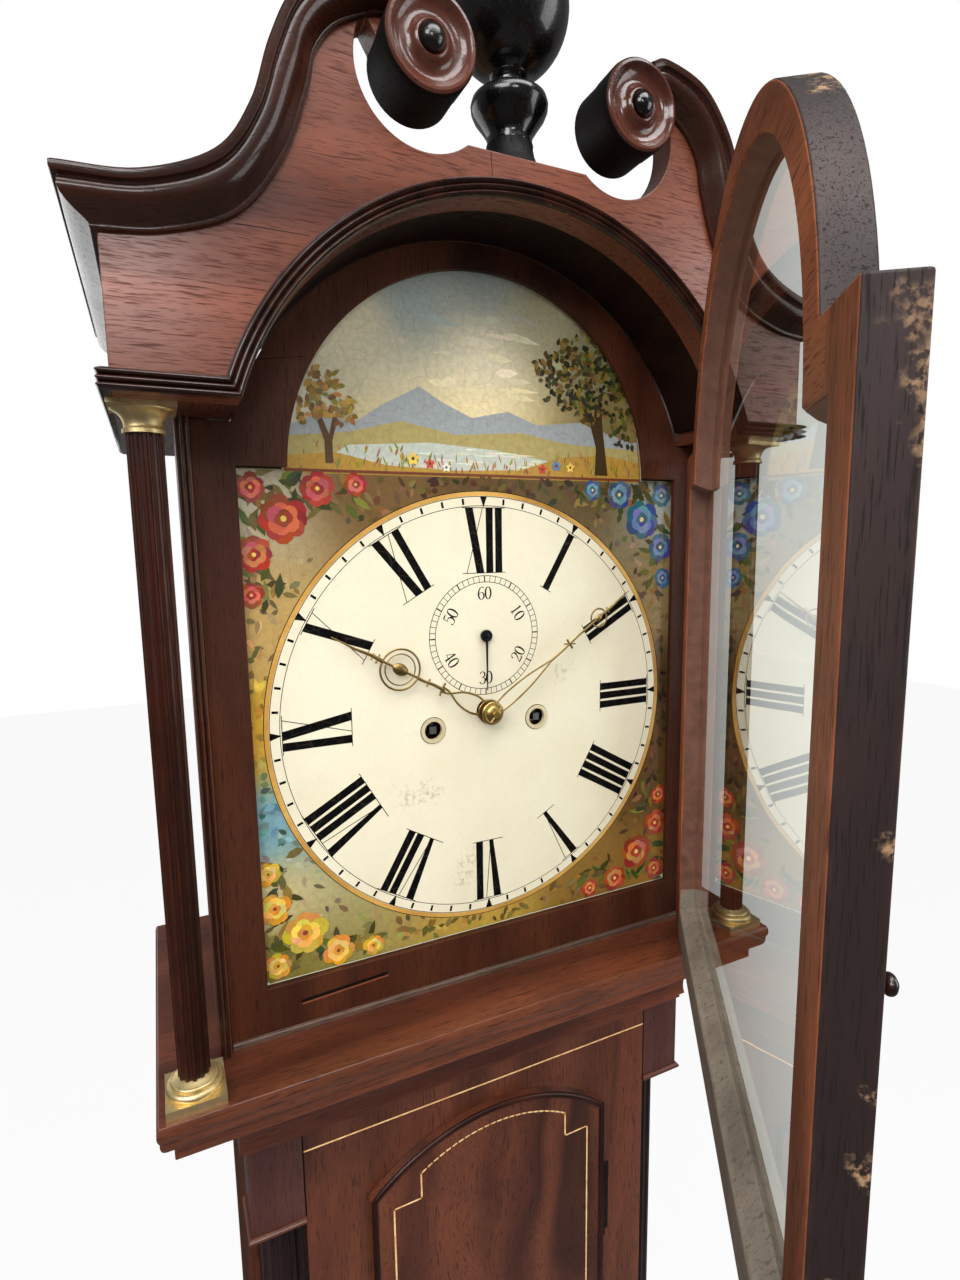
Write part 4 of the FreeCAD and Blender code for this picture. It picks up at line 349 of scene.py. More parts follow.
woodLooks = {
    "case_wood": dict(
        dark=(46, 19, 11), middle=(105, 54, 33), light=(134, 74, 46), ribbon=0.3, rough=0.36, coat=0.4,
        coatRough=0.12,
    ),
    "frieze_veneer": dict(
        dark=(62, 26, 16), middle=(124, 65, 42), light=(150, 86, 62), ribbon=0.3, rough=0.32, coat=0.5,
        coatRough=0.2, bump=0.7, stain=0.25, flecks=0.6, open=0.6,
    ),
    "door_veneer": dict(
        dark=(46, 19, 11), middle=(97, 49, 31), light=(130, 71, 45), ribbon=0.5, swirl=0.12, rough=0.35,
    ),
    "dark_wood": dict(
        dark=(12, 6, 5), middle=(32, 15, 11), light=(60, 33, 25), ribbon=0.2, rough=0.28, coat=0.5, rub=0.5,
    ),
    "hood_door_wood": dict(
        dark=(66, 34, 19), middle=(168, 92, 54), light=(196, 120, 76), ribbon=0.25, rough=0.62, coat=0.0,
        bump=0.9, stain=0.6, rub=0.4, edge=0.003,
    ),
    "doorEdge": dict(
        dark=(20, 12, 11), middle=(50, 33, 31), light=(76, 54, 47), ribbon=0.2, rough=0.58, coat=0.0,
        bump=1.0, stain=0.6, rub=0.5, edge=0.003, bare=(182, 144, 106),
        spots=[
            (onDoor(-189, -25, 176), 12), (onDoor(-189, -24, 160), 8), (onDoor(-189, -25, 146), 7),
            (onDoor(-104, -25, 278), 12), (onDoor(-88, -25, 288), 10), (onDoor(-70, -25, 299), 8),
            (onDoor(-189, -25, 40), 5), (onDoor(-189, -25, -36), 5), (onDoor(-189, -24, -58), 6),
            (onDoor(-189, -18, -100), 5), (onDoor(-189, -25, -140), 6),
        ],
    ),
    "mask_wood": dict(
        dark=(40, 16, 8), middle=(78, 37, 18), light=(100, 53, 29), ribbon=0.3, rough=0.5, coat=0.05,
        specular=0.25,
    ),
    "oak": dict(
        dark=(70, 48, 30), middle=(128, 94, 62), light=(160, 124, 86), ribbon=0.4, rough=0.7, coat=0.0,
        bump=0.7,
    ),
    "ebony": dict(
        dark=(3, 3, 3), middle=(9, 7, 7), light=(26, 18, 15), ribbon=0.1, rough=0.2, coat=0.6,
        coatRough=0.08, rub=0.6, stain=0.2,
    ),
    # near-black wood: dark broken wood and dark lines, and painted shade on the hidden edges behind the paterae
    "blackWoodAndShade": dict(
        dark=(4, 3, 3), middle=(14, 9, 8), light=(36, 22, 18), ribbon=0.1, rough=0.55, coat=0.0,
        specular=0.2, rub=0.5,
    ),
    "revealWood": dict(
        dark=(20, 8, 5), middle=(38, 16, 9), light=(56, 27, 16), ribbon=0.2, rough=0.5, coat=0.0,
        specular=0.15,
    ),
    "paterFace": dict(
        dark=(46, 17, 10), middle=(104, 50, 34), light=(130, 73, 50), ribbon=0.2, rough=0.24, coat=0.6,
        coatRough=0.07,
    ),
    "mouldingWood": dict(
        dark=(18, 7, 4), middle=(46, 19, 11), light=(80, 41, 25), ribbon=0.25, rough=0.28, coat=0.5,
        coatRough=0.08, specular=0.2, rub=0.5,
    ),
    "columnWood": dict(
        dark=(20, 7, 4), middle=(54, 21, 11), light=(86, 43, 27), ribbon=0.25, rough=0.34, coat=0.1,
        specular=0.2, rub=0.5,
    ),
    "quarterWood": dict(
        dark=(10, 5, 5), middle=(36, 17, 16), light=(64, 36, 32), ribbon=0.2, rough=0.3, coat=0.35,
        coatRough=0.1, specular=0.2, rub=0.5,
    ),
    "blockWood": dict(
        dark=(50, 24, 20), middle=(88, 49, 43), light=(116, 72, 62), ribbon=0.2, rough=0.4, coat=0.3,
        coatRough=0.2, rub=0.5,
    ),
    "sideWood": dict(
        dark=(40, 17, 10), middle=(96, 50, 31), light=(120, 66, 42), ribbon=0.3, rough=0.66, coat=0.0,
        specular=0.08,
    ),
    # a lighter copy of the case wood: painted light in the shaded cove of the throat moulding
    "throatPaintedLightWood": dict(
        dark=(60, 26, 15), middle=(130, 66, 42), light=(164, 92, 60), ribbon=0.3, rough=0.36, coat=0.4,
        coatRough=0.12,
    ),
    # grey-brown: partly dust, partly painted sheen on the sill's top
    "sillDustAndSheenWood": dict(
        dark=(46, 30, 24), middle=(96, 72, 60), light=(134, 110, 94), ribbon=0.2, rough=0.4, coat=0.2,
        rub=0.6,
    ),
    # grey dust and painted sheen: the pale grey stands partly for dust and partly for light glancing off the
    # surface
    "dustAndSheenWood": dict(
        dark=(84, 74, 66), middle=(134, 122, 110), light=(158, 146, 132), ribbon=0.2, rough=0.7, coat=0.0,
        bump=0.9, stain=0.5, rub=0.3, edge=0.003,
    ),
}
metalLooks = {
    "mount_brass": dict(
        color=(246, 224, 168), dull=(166, 138, 88), bright=(252, 240, 206), tarnish=0.7, rough=0.42,
    ),
    "hand_brass": dict(
        color=(176, 148, 90), dull=(80, 64, 40), bright=(240, 224, 172), tarnish=0.8, rough=0.34,
    ),
    "movement_brass": dict(
        color=(214, 178, 98), dull=(140, 106, 54), bright=(240, 216, 150), tarnish=0.5, rough=0.32,
    ),
    "bell_brass": dict(
        color=(200, 172, 112), dull=(120, 98, 60), bright=(232, 212, 160), tarnish=0.8, rough=0.4,
    ),
    "steel": dict(
        color=(190, 190, 190), dull=(110, 106, 102), bright=(225, 225, 225), tarnish=0.5, rough=0.28,
    ),
    "bob_brass": dict(
        color=(204, 164, 88), dull=(118, 88, 46), bright=(238, 210, 146), tarnish=0.6, rough=0.26,
    ),
    "black_steel": dict(
        color=(20, 20, 24), dull=(34, 30, 28), bright=(80, 80, 86), tarnish=0.4, rough=0.3, metal=0.6,
    ),
    "weight_iron": dict(
        color=(58, 56, 56), dull=(84, 60, 46), bright=(110, 108, 106), tarnish=0.7, rough=0.6, metal=0.7,
        bump=0.8,
    ),
    # brass made paler and half metallic: partly painted sheen on the winding collets
    "colletBrassAndSheen": dict(
        color=(238, 222, 180), dull=(204, 180, 132), bright=(252, 242, 214), tarnish=0.4, rough=0.4,
        metal=0.45,
    ),
    "darkBrass": dict(
        color=(74, 58, 44), dull=(40, 28, 22), bright=(150, 126, 90), tarnish=0.8, rough=0.42,
    ),
}
materials = {name: polishedWood(name, look) for name, look in woodLooks.items()}
materials.update({name: plainMetal(name, look) for name, look in metalLooks.items()})


def makeGlass():
    material, tree = newMaterial("oldGlass")[:2]
    point = objectPoint(tree)
    wave = bumped(tree, noise(tree, point, 16, 1, 0.4), 0.12, 0.8)
    smear = noise(tree, point, 34, 4, 0.6)
    fresnel = add(tree, "ShaderNodeFresnel", {"IOR": 1.5, "Normal": wave}).outputs[0]
    inside = add(tree, "ShaderNodeNewGeometry").outputs["Backfacing"]
    outside = calc(tree, "SUBTRACT", 1.0, inside)
    share = calc(tree, "MULTIPLY", outside, times(tree, fresnel, 1.6), True)
    clear = add(tree, "ShaderNodeBsdfTransparent", {"Color": (0.93, 0.95, 0.93, 1)}).outputs[0]
    mirror = add(tree, "ShaderNodeBsdfGlossy", {
        "Color": (0.95, 0.96, 0.95, 1),
        "Roughness": between(tree, smear, 0.4, 0.8, 0.005, 0.05),
        "Normal": wave,
    }).outputs[0]
    sheet = add(tree, "ShaderNodeMixShader", {0: share, 1: clear, 2: mirror}).outputs[0]
    feed(tree, tree.nodes["Material Output"].inputs, {"Surface": sheet})
    return material


def paintSurface(name, colorOf, crackShare, look):
    material, tree, shader = newMaterial(name)
    point = objectPoint(tree)
    cells = {"Vector": point, "Scale": 90.0}
    cracks = add(tree, "ShaderNodeTexVoronoi", cells, feature="DISTANCE_TO_EDGE").outputs[0]
    crackLine = between(tree, cracks, 0.0, 0.03, 1.0, 0.0)
    marks = {"cloud": noise(tree, point, 14, 5, 0.6), "brush": noise(tree, point, 260, 4, 0.65)}
    color = mixed(tree, times(tree, crackLine, crackShare), colorOf(tree, marks), look["crack"])
    for centre, radius in look.get("spots", []):
        flakes = between(tree, marks["brush"], 0.5, 0.6)
        scuff = times(tree, spot(tree, centre, radius), flakes)
        color = mixed(tree, times(tree, scuff, 0.4), color, look["scuff"])
    feed(tree, shader, {
        "Base Color": color,
        "Roughness": between(tree, marks["cloud"], 0.3, 0.7, look["rough"], look["rough"] + 0.12),
        "Specular IOR Level": look.get("specular", 0.35),
        "Normal": bumped(tree, marks["brush"], look["bump"], 0.06),
    })
    return material


def creamGround(tree, marks):
    aged = between(tree, marks["cloud"], 0.4, 0.7, 0, 0.5)
    color = mixed(tree, aged, shade(228, 219, 194), shade(214, 201, 168))
    return mixed(tree, between(tree, marks["brush"], 0.62, 0.72, 0, 0.1), color, shade(180, 160, 120))


def brushedPaint(tree, marks):
    strokes = between(tree, marks["brush"], 0.3, 0.7, 0.88, 1.12)
    return mixed(tree, 1.0, attributeColor(tree, "paint"), strokes, "MULTIPLY")


def plainInk(tree, marks):
    worn = between(tree, marks["brush"], 0.55, 0.8, 0, 0.25)
    return mixed(tree, worn, shade(7, 6, 6), shade(50, 45, 38))


def giltLine(tree, marks):
    return mixed(tree, between(tree, marks["cloud"], 0.35, 0.65), shade(168, 118, 44), shade(214, 166, 84))


materials["glass"] = makeGlass()
materials["gut"] = mottled("gutLine", dict(
    scale=(500, 500, 900), detail=2, breakup=0.55, change=(0.3, 0.7),
    tones=((150, 112, 66), (196, 160, 104)), rough=(0.4, 0.6), bump=(0.5, 0.1),
))
materials["putty"] = mottled("oldPutty", dict(
    scale=(120, 120, 120), detail=4, breakup=0.65, change=(0.35, 0.65),
    tones=((92, 56, 43), (114, 74, 58)), rough=(0.55, 0.8), bump=(0.3, 0.3),
))
stringMaterial = mottled("stringing", dict(
    scale=(160, 160, 160), detail=3, breakup=0.6, change=(0.35, 0.65),
    tones=((222, 160, 96), (250, 208, 150)), rough=(0.3, 0.42), bump=(0.1, 0.05), coat=0.3,
))
materials["dial_paint"] = paintSurface("dialPaint", creamGround, 0.08, dict(
    crack=shade(170, 150, 112), rough=0.36, bump=0.06, scuff=shade(140, 124, 100),
    spots=[(at(-56, 0, -55), 19), (at(-52, 0, -53), 12), (at(64, 0, 24), 12), (at(-20, 0, -120), 16)],
))
sceneMaterial = paintSurface(
    "dialScene", brushedPaint, 0.18, dict(crack=shade(60, 46, 30), rough=0.36, bump=0.25),
)
inkMaterial = paintSurface(
    "dialInk", plainInk, 0.12, dict(crack=shade(120, 110, 92), rough=0.5, bump=0.1, specular=0.08),
)
giltMaterial = paintSurface("dialGilt", giltLine, 0.2, dict(crack=shade(96, 70, 30), rough=0.34, bump=0.2))


# Mesh helpers
def finishPiece(name, bm, body, material, slot):
    mesh = bpy.data.meshes.new(name)
    bm.to_mesh(mesh)
    bm.free()
    mesh.materials.append(material)
    piece = bpy.data.objects.new(name, mesh)
    bpy.context.scene.collection.objects.link(piece)
    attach(piece, body)
    return piece


def addLooks(piece, *looks):
    for look in looks:
        piece.data.materials.append(materials[look])


def smoothPiece(piece, angle=32):
    piece.data.shade_smooth()
    piece.data.set_sharp_from_angle(angle=math.radians(angle))
    return piece


def softEdges(piece, width):
    bevel = piece.modifiers.new("softEdges", "BEVEL")
    bevel.width = width * mm
    bevel.segments = 2
    bevel.limit_method = "ANGLE"
    bevel.angle_limit = math.radians(34)
    bevel.harden_normals = True
    return piece


def islandsOf(mesh):
    parent = list(range(len(mesh.vertices)))

    def root(index):
        while parent[index] != index:
            parent[index] = parent[parent[index]]
            index = parent[index]
        return index

    for edge in mesh.edges:
        a, b = root(edge.vertices[0]), root(edge.vertices[1])
        if a != b:
            parent[a] = b
    return [root(index) for index in range(len(mesh.vertices))]


axes = (Vector((1, 0, 0)), Vector((0, 1, 0)), Vector((0, 0, 1)))


def alongBoard(mesh):
    # each loose board's grain runs along its longest side
    owner = islandsOf(mesh)
    low, high = {}, {}
    for vertex in mesh.vertices:
        key = owner[vertex.index]
        a = low.setdefault(key, vertex.co.copy())
        b = high.setdefault(key, vertex.co.copy())
        for i in range(3):
            a[i] = min(a[i], vertex.co[i])
            b[i] = max(b[i], vertex.co[i])

    def direction(face):
        key = owner[face.vertices[0]]
        size = high[key] - low[key]
        return axes[max(range(3), key=lambda i: size[i])]
    return direction


def alongMoulding(mesh):
    # a moulding round three sides: its grain runs along x across the front and along y on the sides
    low = min(vertex.co.y for vertex in mesh.vertices)
    half = max(vertex.co.x for vertex in mesh.vertices)

    def direction(face):
        normal, centre = face.normal, face.center
        if abs(normal.z) < 0.9 and abs(abs(normal.x) - abs(normal.y)) > 0.1:
            return axes[1] if abs(normal.x) > abs(normal.y) else axes[0]
        return axes[1] if half - abs(centre.x) < centre.y - low else axes[0]
    return direction


def alongArch(centreZ):
    def direction(face):
        spoke = Vector((face.center.x, 0, face.center.z - centreZ))
        return Vector((-spoke.z, 0, spoke.x)).normalized()
    return lambda mesh: direction


def along(axis):
    return lambda mesh: lambda face: axes[axis]


def markGrain(mesh, chooser):
    direction = chooser(mesh)
    owner = islandsOf(mesh)
    layer = mesh.attributes.new("grain", "FLOAT_VECTOR", "CORNER")
    values = [0.0] * (3 * len(mesh.loops))
    for face in mesh.polygons:
        grain = direction(face)
        if max(abs(part) for part in grain) < 0.999:
            side = grain.orthogonal().normalized()
        else:
            side = axes[0 if abs(grain.x) < 0.5 else 1]
        depth = grain.cross(side)
        shift = (owner[face.vertices[0]] * 0.317) % 7
        for loop in face.loop_indices:
            point = mesh.vertices[mesh.loops[loop].vertex_index].co
            values[3 * loop] = point.dot(side) + shift
            values[3 * loop + 1] = point.dot(depth) + shift
            values[3 * loop + 2] = point.dot(grain)
    layer.data.foreach_set("vector", values)


def cleanCopy(node):
    flat = math.radians(0.4)
    bm = bmesh.new()
    bm.from_mesh(nodes[node].data)
    bmesh.ops.remove_doubles(bm, verts=bm.verts, dist=0.01 * mm)
    bmesh.ops.dissolve_limit(bm, angle_limit=flat, verts=bm.verts, edges=bm.edges, delimit={"NORMAL"})
    bmesh.ops.recalc_face_normals(bm, faces=bm.faces)
    piece = finishPiece(node + "_dressed", bm, bodyOf[node], materials[slotOf[node]], slotOf[node])
    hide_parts(node)
    return smoothPiece(piece)


def woodPiece(name, bm, body, look, slot, chooser, angle=40):
    bmesh.ops.recalc_face_normals(bm, faces=bm.faces)
    piece = finishPiece(name, bm, body, materials[look], slot)
    markGrain(piece.data, chooser)
    return smoothPiece(piece, angle)


# Wooden pieces kept as built: the width of their softened edges, the run of their grain, a look of their own
archCentre = at(0, 0, 143).z
woodPieces = {
    "base_panel": (1.0, along(2)),
    "base_boards": (1.0, alongBoard),
    "plinth_skirting": (1.2, alongMoulding),
    "waist_moulding": (0.8, alongMoulding),
    "trunk_front": (0.8, along(2)),
    "trunk_sides": (1.0, along(2), "sideWood"),
    "corner_blocks": (0.8, along(2), "blockWood"),
    "quarter_columns": (0.4, along(2), "quarterWood"),
    # the throat takes a lighter wood as painted light in its shaded cove
    "throat_moulding": (0.7, alongMoulding, "throatPaintedLightWood"),
    "trunk_door": (1.4, along(2)),
    "hood_base": (1.2, alongMoulding),
    "hood_sides": (0.6, alongBoard),
    "arch_reveal": (0.3, alongArch(archCentre), "revealWood"),
    "hood_roof": (0.8, along(0)),
    "dial_mask": (0.4, along(2)),
    "columns": (0.25, along(2), "columnWood"),
    "hood_door_knob": (0.3, along(2)),
    "backboard": (0.8, along(2)),
    "seatboard": (0.8, along(0)),
}
for node, (edge, chooser, *look) in woodPieces.items():
    piece = cleanCopy(node)
    markGrain(piece.data, chooser)
    softEdges(piece, edge)
    if look:
        piece.data.materials[0] = materials[look[0]]
print("case wood done")


# Mouldings, turnings and small trim
def smoothPath(points, steps):
    points = [Vector(point) for point in points]
    ends = [points[0] * 2 - points[1]] + points + [points[-1] * 2 - points[-2]]
    path = []
    for i in range(1, len(ends) - 2):
        a, b, c, d = ends[i - 1:i + 3]
        for step in range(steps):
            t = step / steps
            bent = (2 * a - 5 * b + 4 * c - d) * t ** 2 + (3 * b - a - 3 * c + d) * t ** 3
            path.append(0.5 * (2 * b + (c - a) * t + bent))
    return path + [points[-1]]


def arcPoints(centre, radius, start, stop, steps):
    turns = [start + (stop - start) * step / steps for step in range(steps + 1)]
    return [(centre[0] + radius * math.cos(t), centre[1] + radius * math.sin(t)) for t in turns]


def lowArch(half, spring, rise, steps):
    # points of a flat arch between two springing points, from left to right
    radius = (half ** 2 + rise ** 2) / (2 * rise)
    turn = math.asin(half / radius)
    middle = (0, spring + rise - radius)
    return arcPoints(middle, radius, math.pi / 2 + turn, math.pi / 2 - turn, steps)


def bridgeRows(bm, rows, loop=False):
    grid = [[bm.verts.new(point) for point in row] for row in rows]
    count = len(grid[0])
    pairs = list(zip(grid, grid[1:])) + ([(grid[-1], grid[0])] if loop else [])
    for low, high in pairs:
        for i in range(count):
            j = (i + 1) % count
            bm.faces.new((low[i], low[j], high[j], high[i]))
    if not loop:
        bm.faces.new(grid[0])
        bm.faces.new(list(reversed(grid[-1])))


def mirrored(rows):
    return [[Vector((-point.x, point.y, point.z)) for point in row] for row in rows]


def mouldingRows(section, edges, run):
    # a return along the hood's side, its mitre at the corner, then the front run from edge to edge
    first, last = edges[0]
    rows = [[], []]
    for across, depth in section:
        x = run["half"] + run["reach"] * depth
        z = first.y + (last.y - first.y) * across
        rows[0].append(at(x, run["back"], z))
        rows[1].append(at(x, run["front"] - run["proud"] * depth, z))
    for low, high in edges[1:]:
        row = []
        for across, depth in section:
            middle = low + (high - low) * across
            row.append(at(middle.x, run["front"] - run["proud"] * depth, middle.y))
        rows.append(row)
    return rows


def makeFrieze():
    board = dict(
        arch=176, centre=143, foot=196, half=227, front=-69, back=-51, hill=342, horn=(95.6, 391),
        paterCentre=(66.5, 377.5), paterRadius=24.6, voidCentre=(64, 372), voidRadius=39,
        crest=[(227, 286), (208, 288), (175, 303), (158, 327), (148, 356), (136, 380), (116, 400), (88, 407),
               (66.5, 402)],
    )
    paterX, paterZ = board["paterCentre"]
    half = [(board["half"], board["foot"])] + [tuple(point) for point in smoothPath(board["crest"], 6)]
    half += arcPoints(board["paterCentre"], board["paterRadius"], math.radians(100), math.radians(372), 34)
    half.append(board["horn"])
    hillTurn = math.asin((board["voidCentre"][1] - board["hill"]) / board["voidRadius"]) - math.pi
    half += arcPoints(board["voidCentre"], board["voidRadius"], math.radians(26), hillTurn, 30)
    left = [(-x, z) for x, z in reversed(half)]
    spring = math.asin((board["foot"] - board["centre"]) / board["arch"])
    arch = arcPoints((0, board["centre"]), board["arch"], math.pi - spring, spring, 90)
    outline = half + left + arch
    bm = bmesh.new()
    bridgeRows(bm, [[at(x, board[side], z) for x, z in outline] for side in ("front", "back")])
    piece = woodPiece("friezeBoard", bm, "hood", "frieze_veneer", slotOf["frieze"], along(0), 32)
    addLooks(piece, "blackWoodAndShade")
    # the board's edges round each patera, behind it, are near-black as painted shade
    for face in piece.data.polygons:
        spoke = Vector((abs(face.center.x) / mm - paterX, (face.center.z - dialMiddle) / mm - paterZ))
        if abs(face.normal.y) < 0.5 and spoke.length < board["paterRadius"] + 0.5:
            face.material_index = 1
    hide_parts("frieze")
    softEdges(piece, 0.7)


def makeSwanNecks():
    neck = dict(
        upper=[
            (243, 287), (208, 290), (175, 305), (158, 329), (148, 358), (136, 382), (116, 402), (88, 409),
            (76, 405),
        ],
        lower=[
            (227, 265.5), (198, 269.5), (165, 283), (141, 313), (128, 345), (123, 365), (113, 379),
            (97, 389), (88, 392),
        ],
        section=[
            (0, 0), (0, 0.94), (0.04, 1), (0.15, 1), (0.2, 0.97), (0.22, 0.84), (0.25, 0.8), (0.31, 0.84),
            (0.42, 0.86), (0.54, 0.8), (0.65, 0.67), (0.75, 0.49), (0.84, 0.28), (0.9, 0.18), (0.94, 0.19),
            (0.98, 0.17), (1, 0.12), (1, 0),
        ],
        run=dict(half=227, reach=16, front=-69, proud=15, back=176),
    )
    edges = list(zip(smoothPath(neck["upper"], 8), smoothPath(neck["lower"], 8)))
    rows = mouldingRows(neck["section"], edges, neck["run"])
    bm = bmesh.new()
    bridgeRows(bm, rows)
    bridgeRows(bm, mirrored(rows))
    piece = woodPiece("swanNecks", bm, "hood", "mouldingWood", slotOf["swan_necks"], along(0))
    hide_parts("swan_necks")


def makeArchReeds():
    reeds = dict(
        inner=176, outer=186, centre=143, foot=196, top=206, count=3, steps=110,
        run=dict(half=227, reach=6, front=-69, proud=4, back=176),
    )
    section = [(0, 0)]
    for reed in range(reeds["count"]):
        for step in range(7):
            section.append(((reed + step / 6) / reeds["count"], 0.45 + 0.55 * math.sin(math.pi * step / 6)))
    section.append((1, 0))
    lines = []
    for level, radius in ((reeds["foot"], reeds["inner"]), (reeds["top"], reeds["outer"])):
        spring = math.asin((level - reeds["centre"]) / radius)
        arc = arcPoints((0, reeds["centre"]), radius, spring, math.pi - spring, reeds["steps"])
        lines.append([Vector((reeds["run"]["half"], level))] + [Vector(point) for point in arc])
    rows = mouldingRows(section, list(zip(*lines)), reeds["run"])
    rows += list(reversed(mirrored(rows[:2])))
    bm = bmesh.new()
    bridgeRows(bm, rows)
    grain = alongArch(archCentre)
    piece = woodPiece("archReeds", bm, "hood", "mouldingWood", slotOf["arch_moulding"], grain)
    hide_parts("arch_moulding")


def turned(bm, profile, centre, axis, steps):
    # a profile of radius and distance along the axis, turned once round it
    corners = []
    for radius, far in profile:
        corners.append(bm.verts.new(centre + Vector((radius * mm, 0, 0)) + axis * (far * mm)))
    edges = [bm.edges.new(pair) for pair in zip(corners, corners[1:])]
    bmesh.ops.spin(
        bm, geom=corners + edges, cent=centre, axis=axis, dvec=(0, 0, 0), angle=2 * math.pi, steps=steps,
        use_merge=True, use_duplicate=False,
    )


def makePaterae():
    patera = dict(
        x=66.5, z=377.5, front=-69, rim=24.6, button=6.7,
        profile=[
            (0, 0), (25, 0), (25.4, -12), (25.5, -15), (25, -17.2), (23.8, -18.4), (22.4, -18.5),
            (21.4, -17.6), (20.8, -16.4), (19, -14.6), (16.4, -13.4), (13.6, -13.4), (11.4, -14.6),
            (10, -16.8), (9.2, -18.2), (8.2, -18.6), (7.4, -17.8), (6.8, -17), (6.6, -18.6), (5.6, -20.8),
            (3.8, -22.2), (1.6, -22.8), (0, -22.8),
        ],
    )
    bm = bmesh.new()
    for side in (-1, 1):
        turned(bm, patera["profile"], at(side * patera["x"], patera["front"], patera["z"]), axes[1], 72)
    bmesh.ops.remove_doubles(bm, verts=bm.verts, dist=0.01 * mm)
    piece = woodPiece("turnedPaterae", bm, "hood", "paterFace", slotOf["paterae"], along(0))
    addLooks(piece, "blackWoodAndShade", "ebony")
    middle = at(patera["x"], 0, patera["z"])
    for face in piece.data.polygons:
        away = math.hypot(abs(face.center.x) - middle.x, face.center.z - middle.z) / mm
        face.material_index = 1 if away > patera["rim"] else 2 if away < patera["button"] else 0
    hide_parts("paterae")


def makeJambBeads():
    # two thin beads down each jamb beside the dial
    beads = dict(places=(193.0, 196.4), front=-14, radius=1.1, low=-203, high=195.5)
    bm = bmesh.new()
    for side in (-1, 1):
        for place in beads["places"]:
            section = arcPoints((side * place, beads["front"]), beads["radius"], 0, -math.pi, 8)
            bridgeRows(bm, [[at(x, y, z) for x, y in section] for z in (beads["low"], beads["high"])])
    woodPiece("jambBeads", bm, "hood", "mouldingWood", "case_wood", along(2))


def makeMaskSill():
    # the low rounded strip at the foot of the mask, under the closed door; its grey-brown wood is partly dust and
    # partly painted sheen on its top
    sill = dict(half=190, back=-6.5, depth=2.6, foot=-203.5, tall=3.5, round=1.4)
    front, top, corner = sill["back"] - sill["depth"], sill["foot"] + sill["tall"], sill["round"]
    nose = arcPoints((front + corner, top - corner), corner, math.pi, math.pi / 2, 5)
    section = [(sill["back"], sill["foot"]), (front, sill["foot"])] + nose + [(sill["back"], top)]
    bm = bmesh.new()
    bridgeRows(bm, [[at(x, y, z) for y, z in section] for x in (-sill["half"], sill["half"])])
    woodPiece("maskSill", bm, "hood", "sillDustAndSheenWood", "case_wood", along(0))


def makeFinial():
    finial = dict(
        y=-44, foot=342, neck=58.2, plinthTop=17.9, ball=(92, 36),
        plinth=[(0, 0), (21, 0), (20.6, 2.2), (17.4, 6), (15.2, 11), (14.2, 16), (14.4, 18), (0, 18)],
        urn=[(0, 18), (13.6, 18), (14, 19.4), (13.4, 21), (14.6, 24.6), (18, 29.6), (21.6, 34.4), (23.2, 38),
             (23.5, 41), (22.6, 43.8), (20.4, 45.4), (17.4, 46), (16.6, 46.8), (15.8, 48), (13, 48.6),
             (10.2, 49.4), (9.2, 51.4), (9.4, 53.6), (11, 54.8), (11.8, 56), (11.4, 57.2)],
        top=[(6, 127.6), (5, 129), (5.2, 131), (6.8, 134), (7, 136.4), (5.6, 139.6), (3, 142.6), (0, 143.7)],
    )
    middle, radius = finial["ball"]
    low, high = math.asin((finial["neck"] - middle) / radius), math.acos(finial["top"][0][0] / radius)
    ball = arcPoints((0, middle), radius, low, high, 22)
    bm = bmesh.new()
    for profile in (finial["plinth"], finial["urn"] + ball + finial["top"]):
        turned(bm, profile, at(0, finial["y"], finial["foot"]), axes[2], 72)
    bmesh.ops.remove_doubles(bm, verts=bm.verts, dist=0.01 * mm)
    piece = woodPiece("turnedFinial", bm, "hood", "ebony", slotOf["finial"], along(2))
    addLooks(piece, "blackWoodAndShade")
    plinthTop = at(0, 0, finial["foot"] + finial["plinthTop"]).z
    for face in piece.data.polygons:
        face.material_index = 1 if face.center.z < plinthTop else 0
    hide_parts("finial")


def makeBlockFillets():
    # the small projecting fillet where each corner block meets its quarter column
    fillet = dict(
        wide=37, proud=2.6, tall=4.4, levels=(-357, -930),
        section=[(0, 0), (0, 0.6), (0.2, 1), (0.6, 1), (0.8, 0.5), (1, 0.35), (1, 0)],
    )
    low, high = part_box("corner_blocks")
    half, front = high.x / mm, (low.y - dialFace) / mm
    path = ((half - fillet["wide"], front, 0, -1), (half, front, 1, -1), (half, front + fillet["wide"], 1, 0))
    bm = bmesh.new()
    for level, sense in zip(fillet["levels"], (1, -1)):
        for side in (-1, 1):
            rows = []
            for x, y, outX, outY in path:
                row = []
                for rise, share in fillet["section"]:
                    out = fillet["proud"] * share
                    z = level + sense * fillet["tall"] * rise
                    row.append(at(side * (x + outX * out), y + outY * out, z))
                rows.append(row)
            bridgeRows(bm, rows)
    woodPiece("blockFillets", bm, "case", "case_wood", "case_wood", alongMoulding)


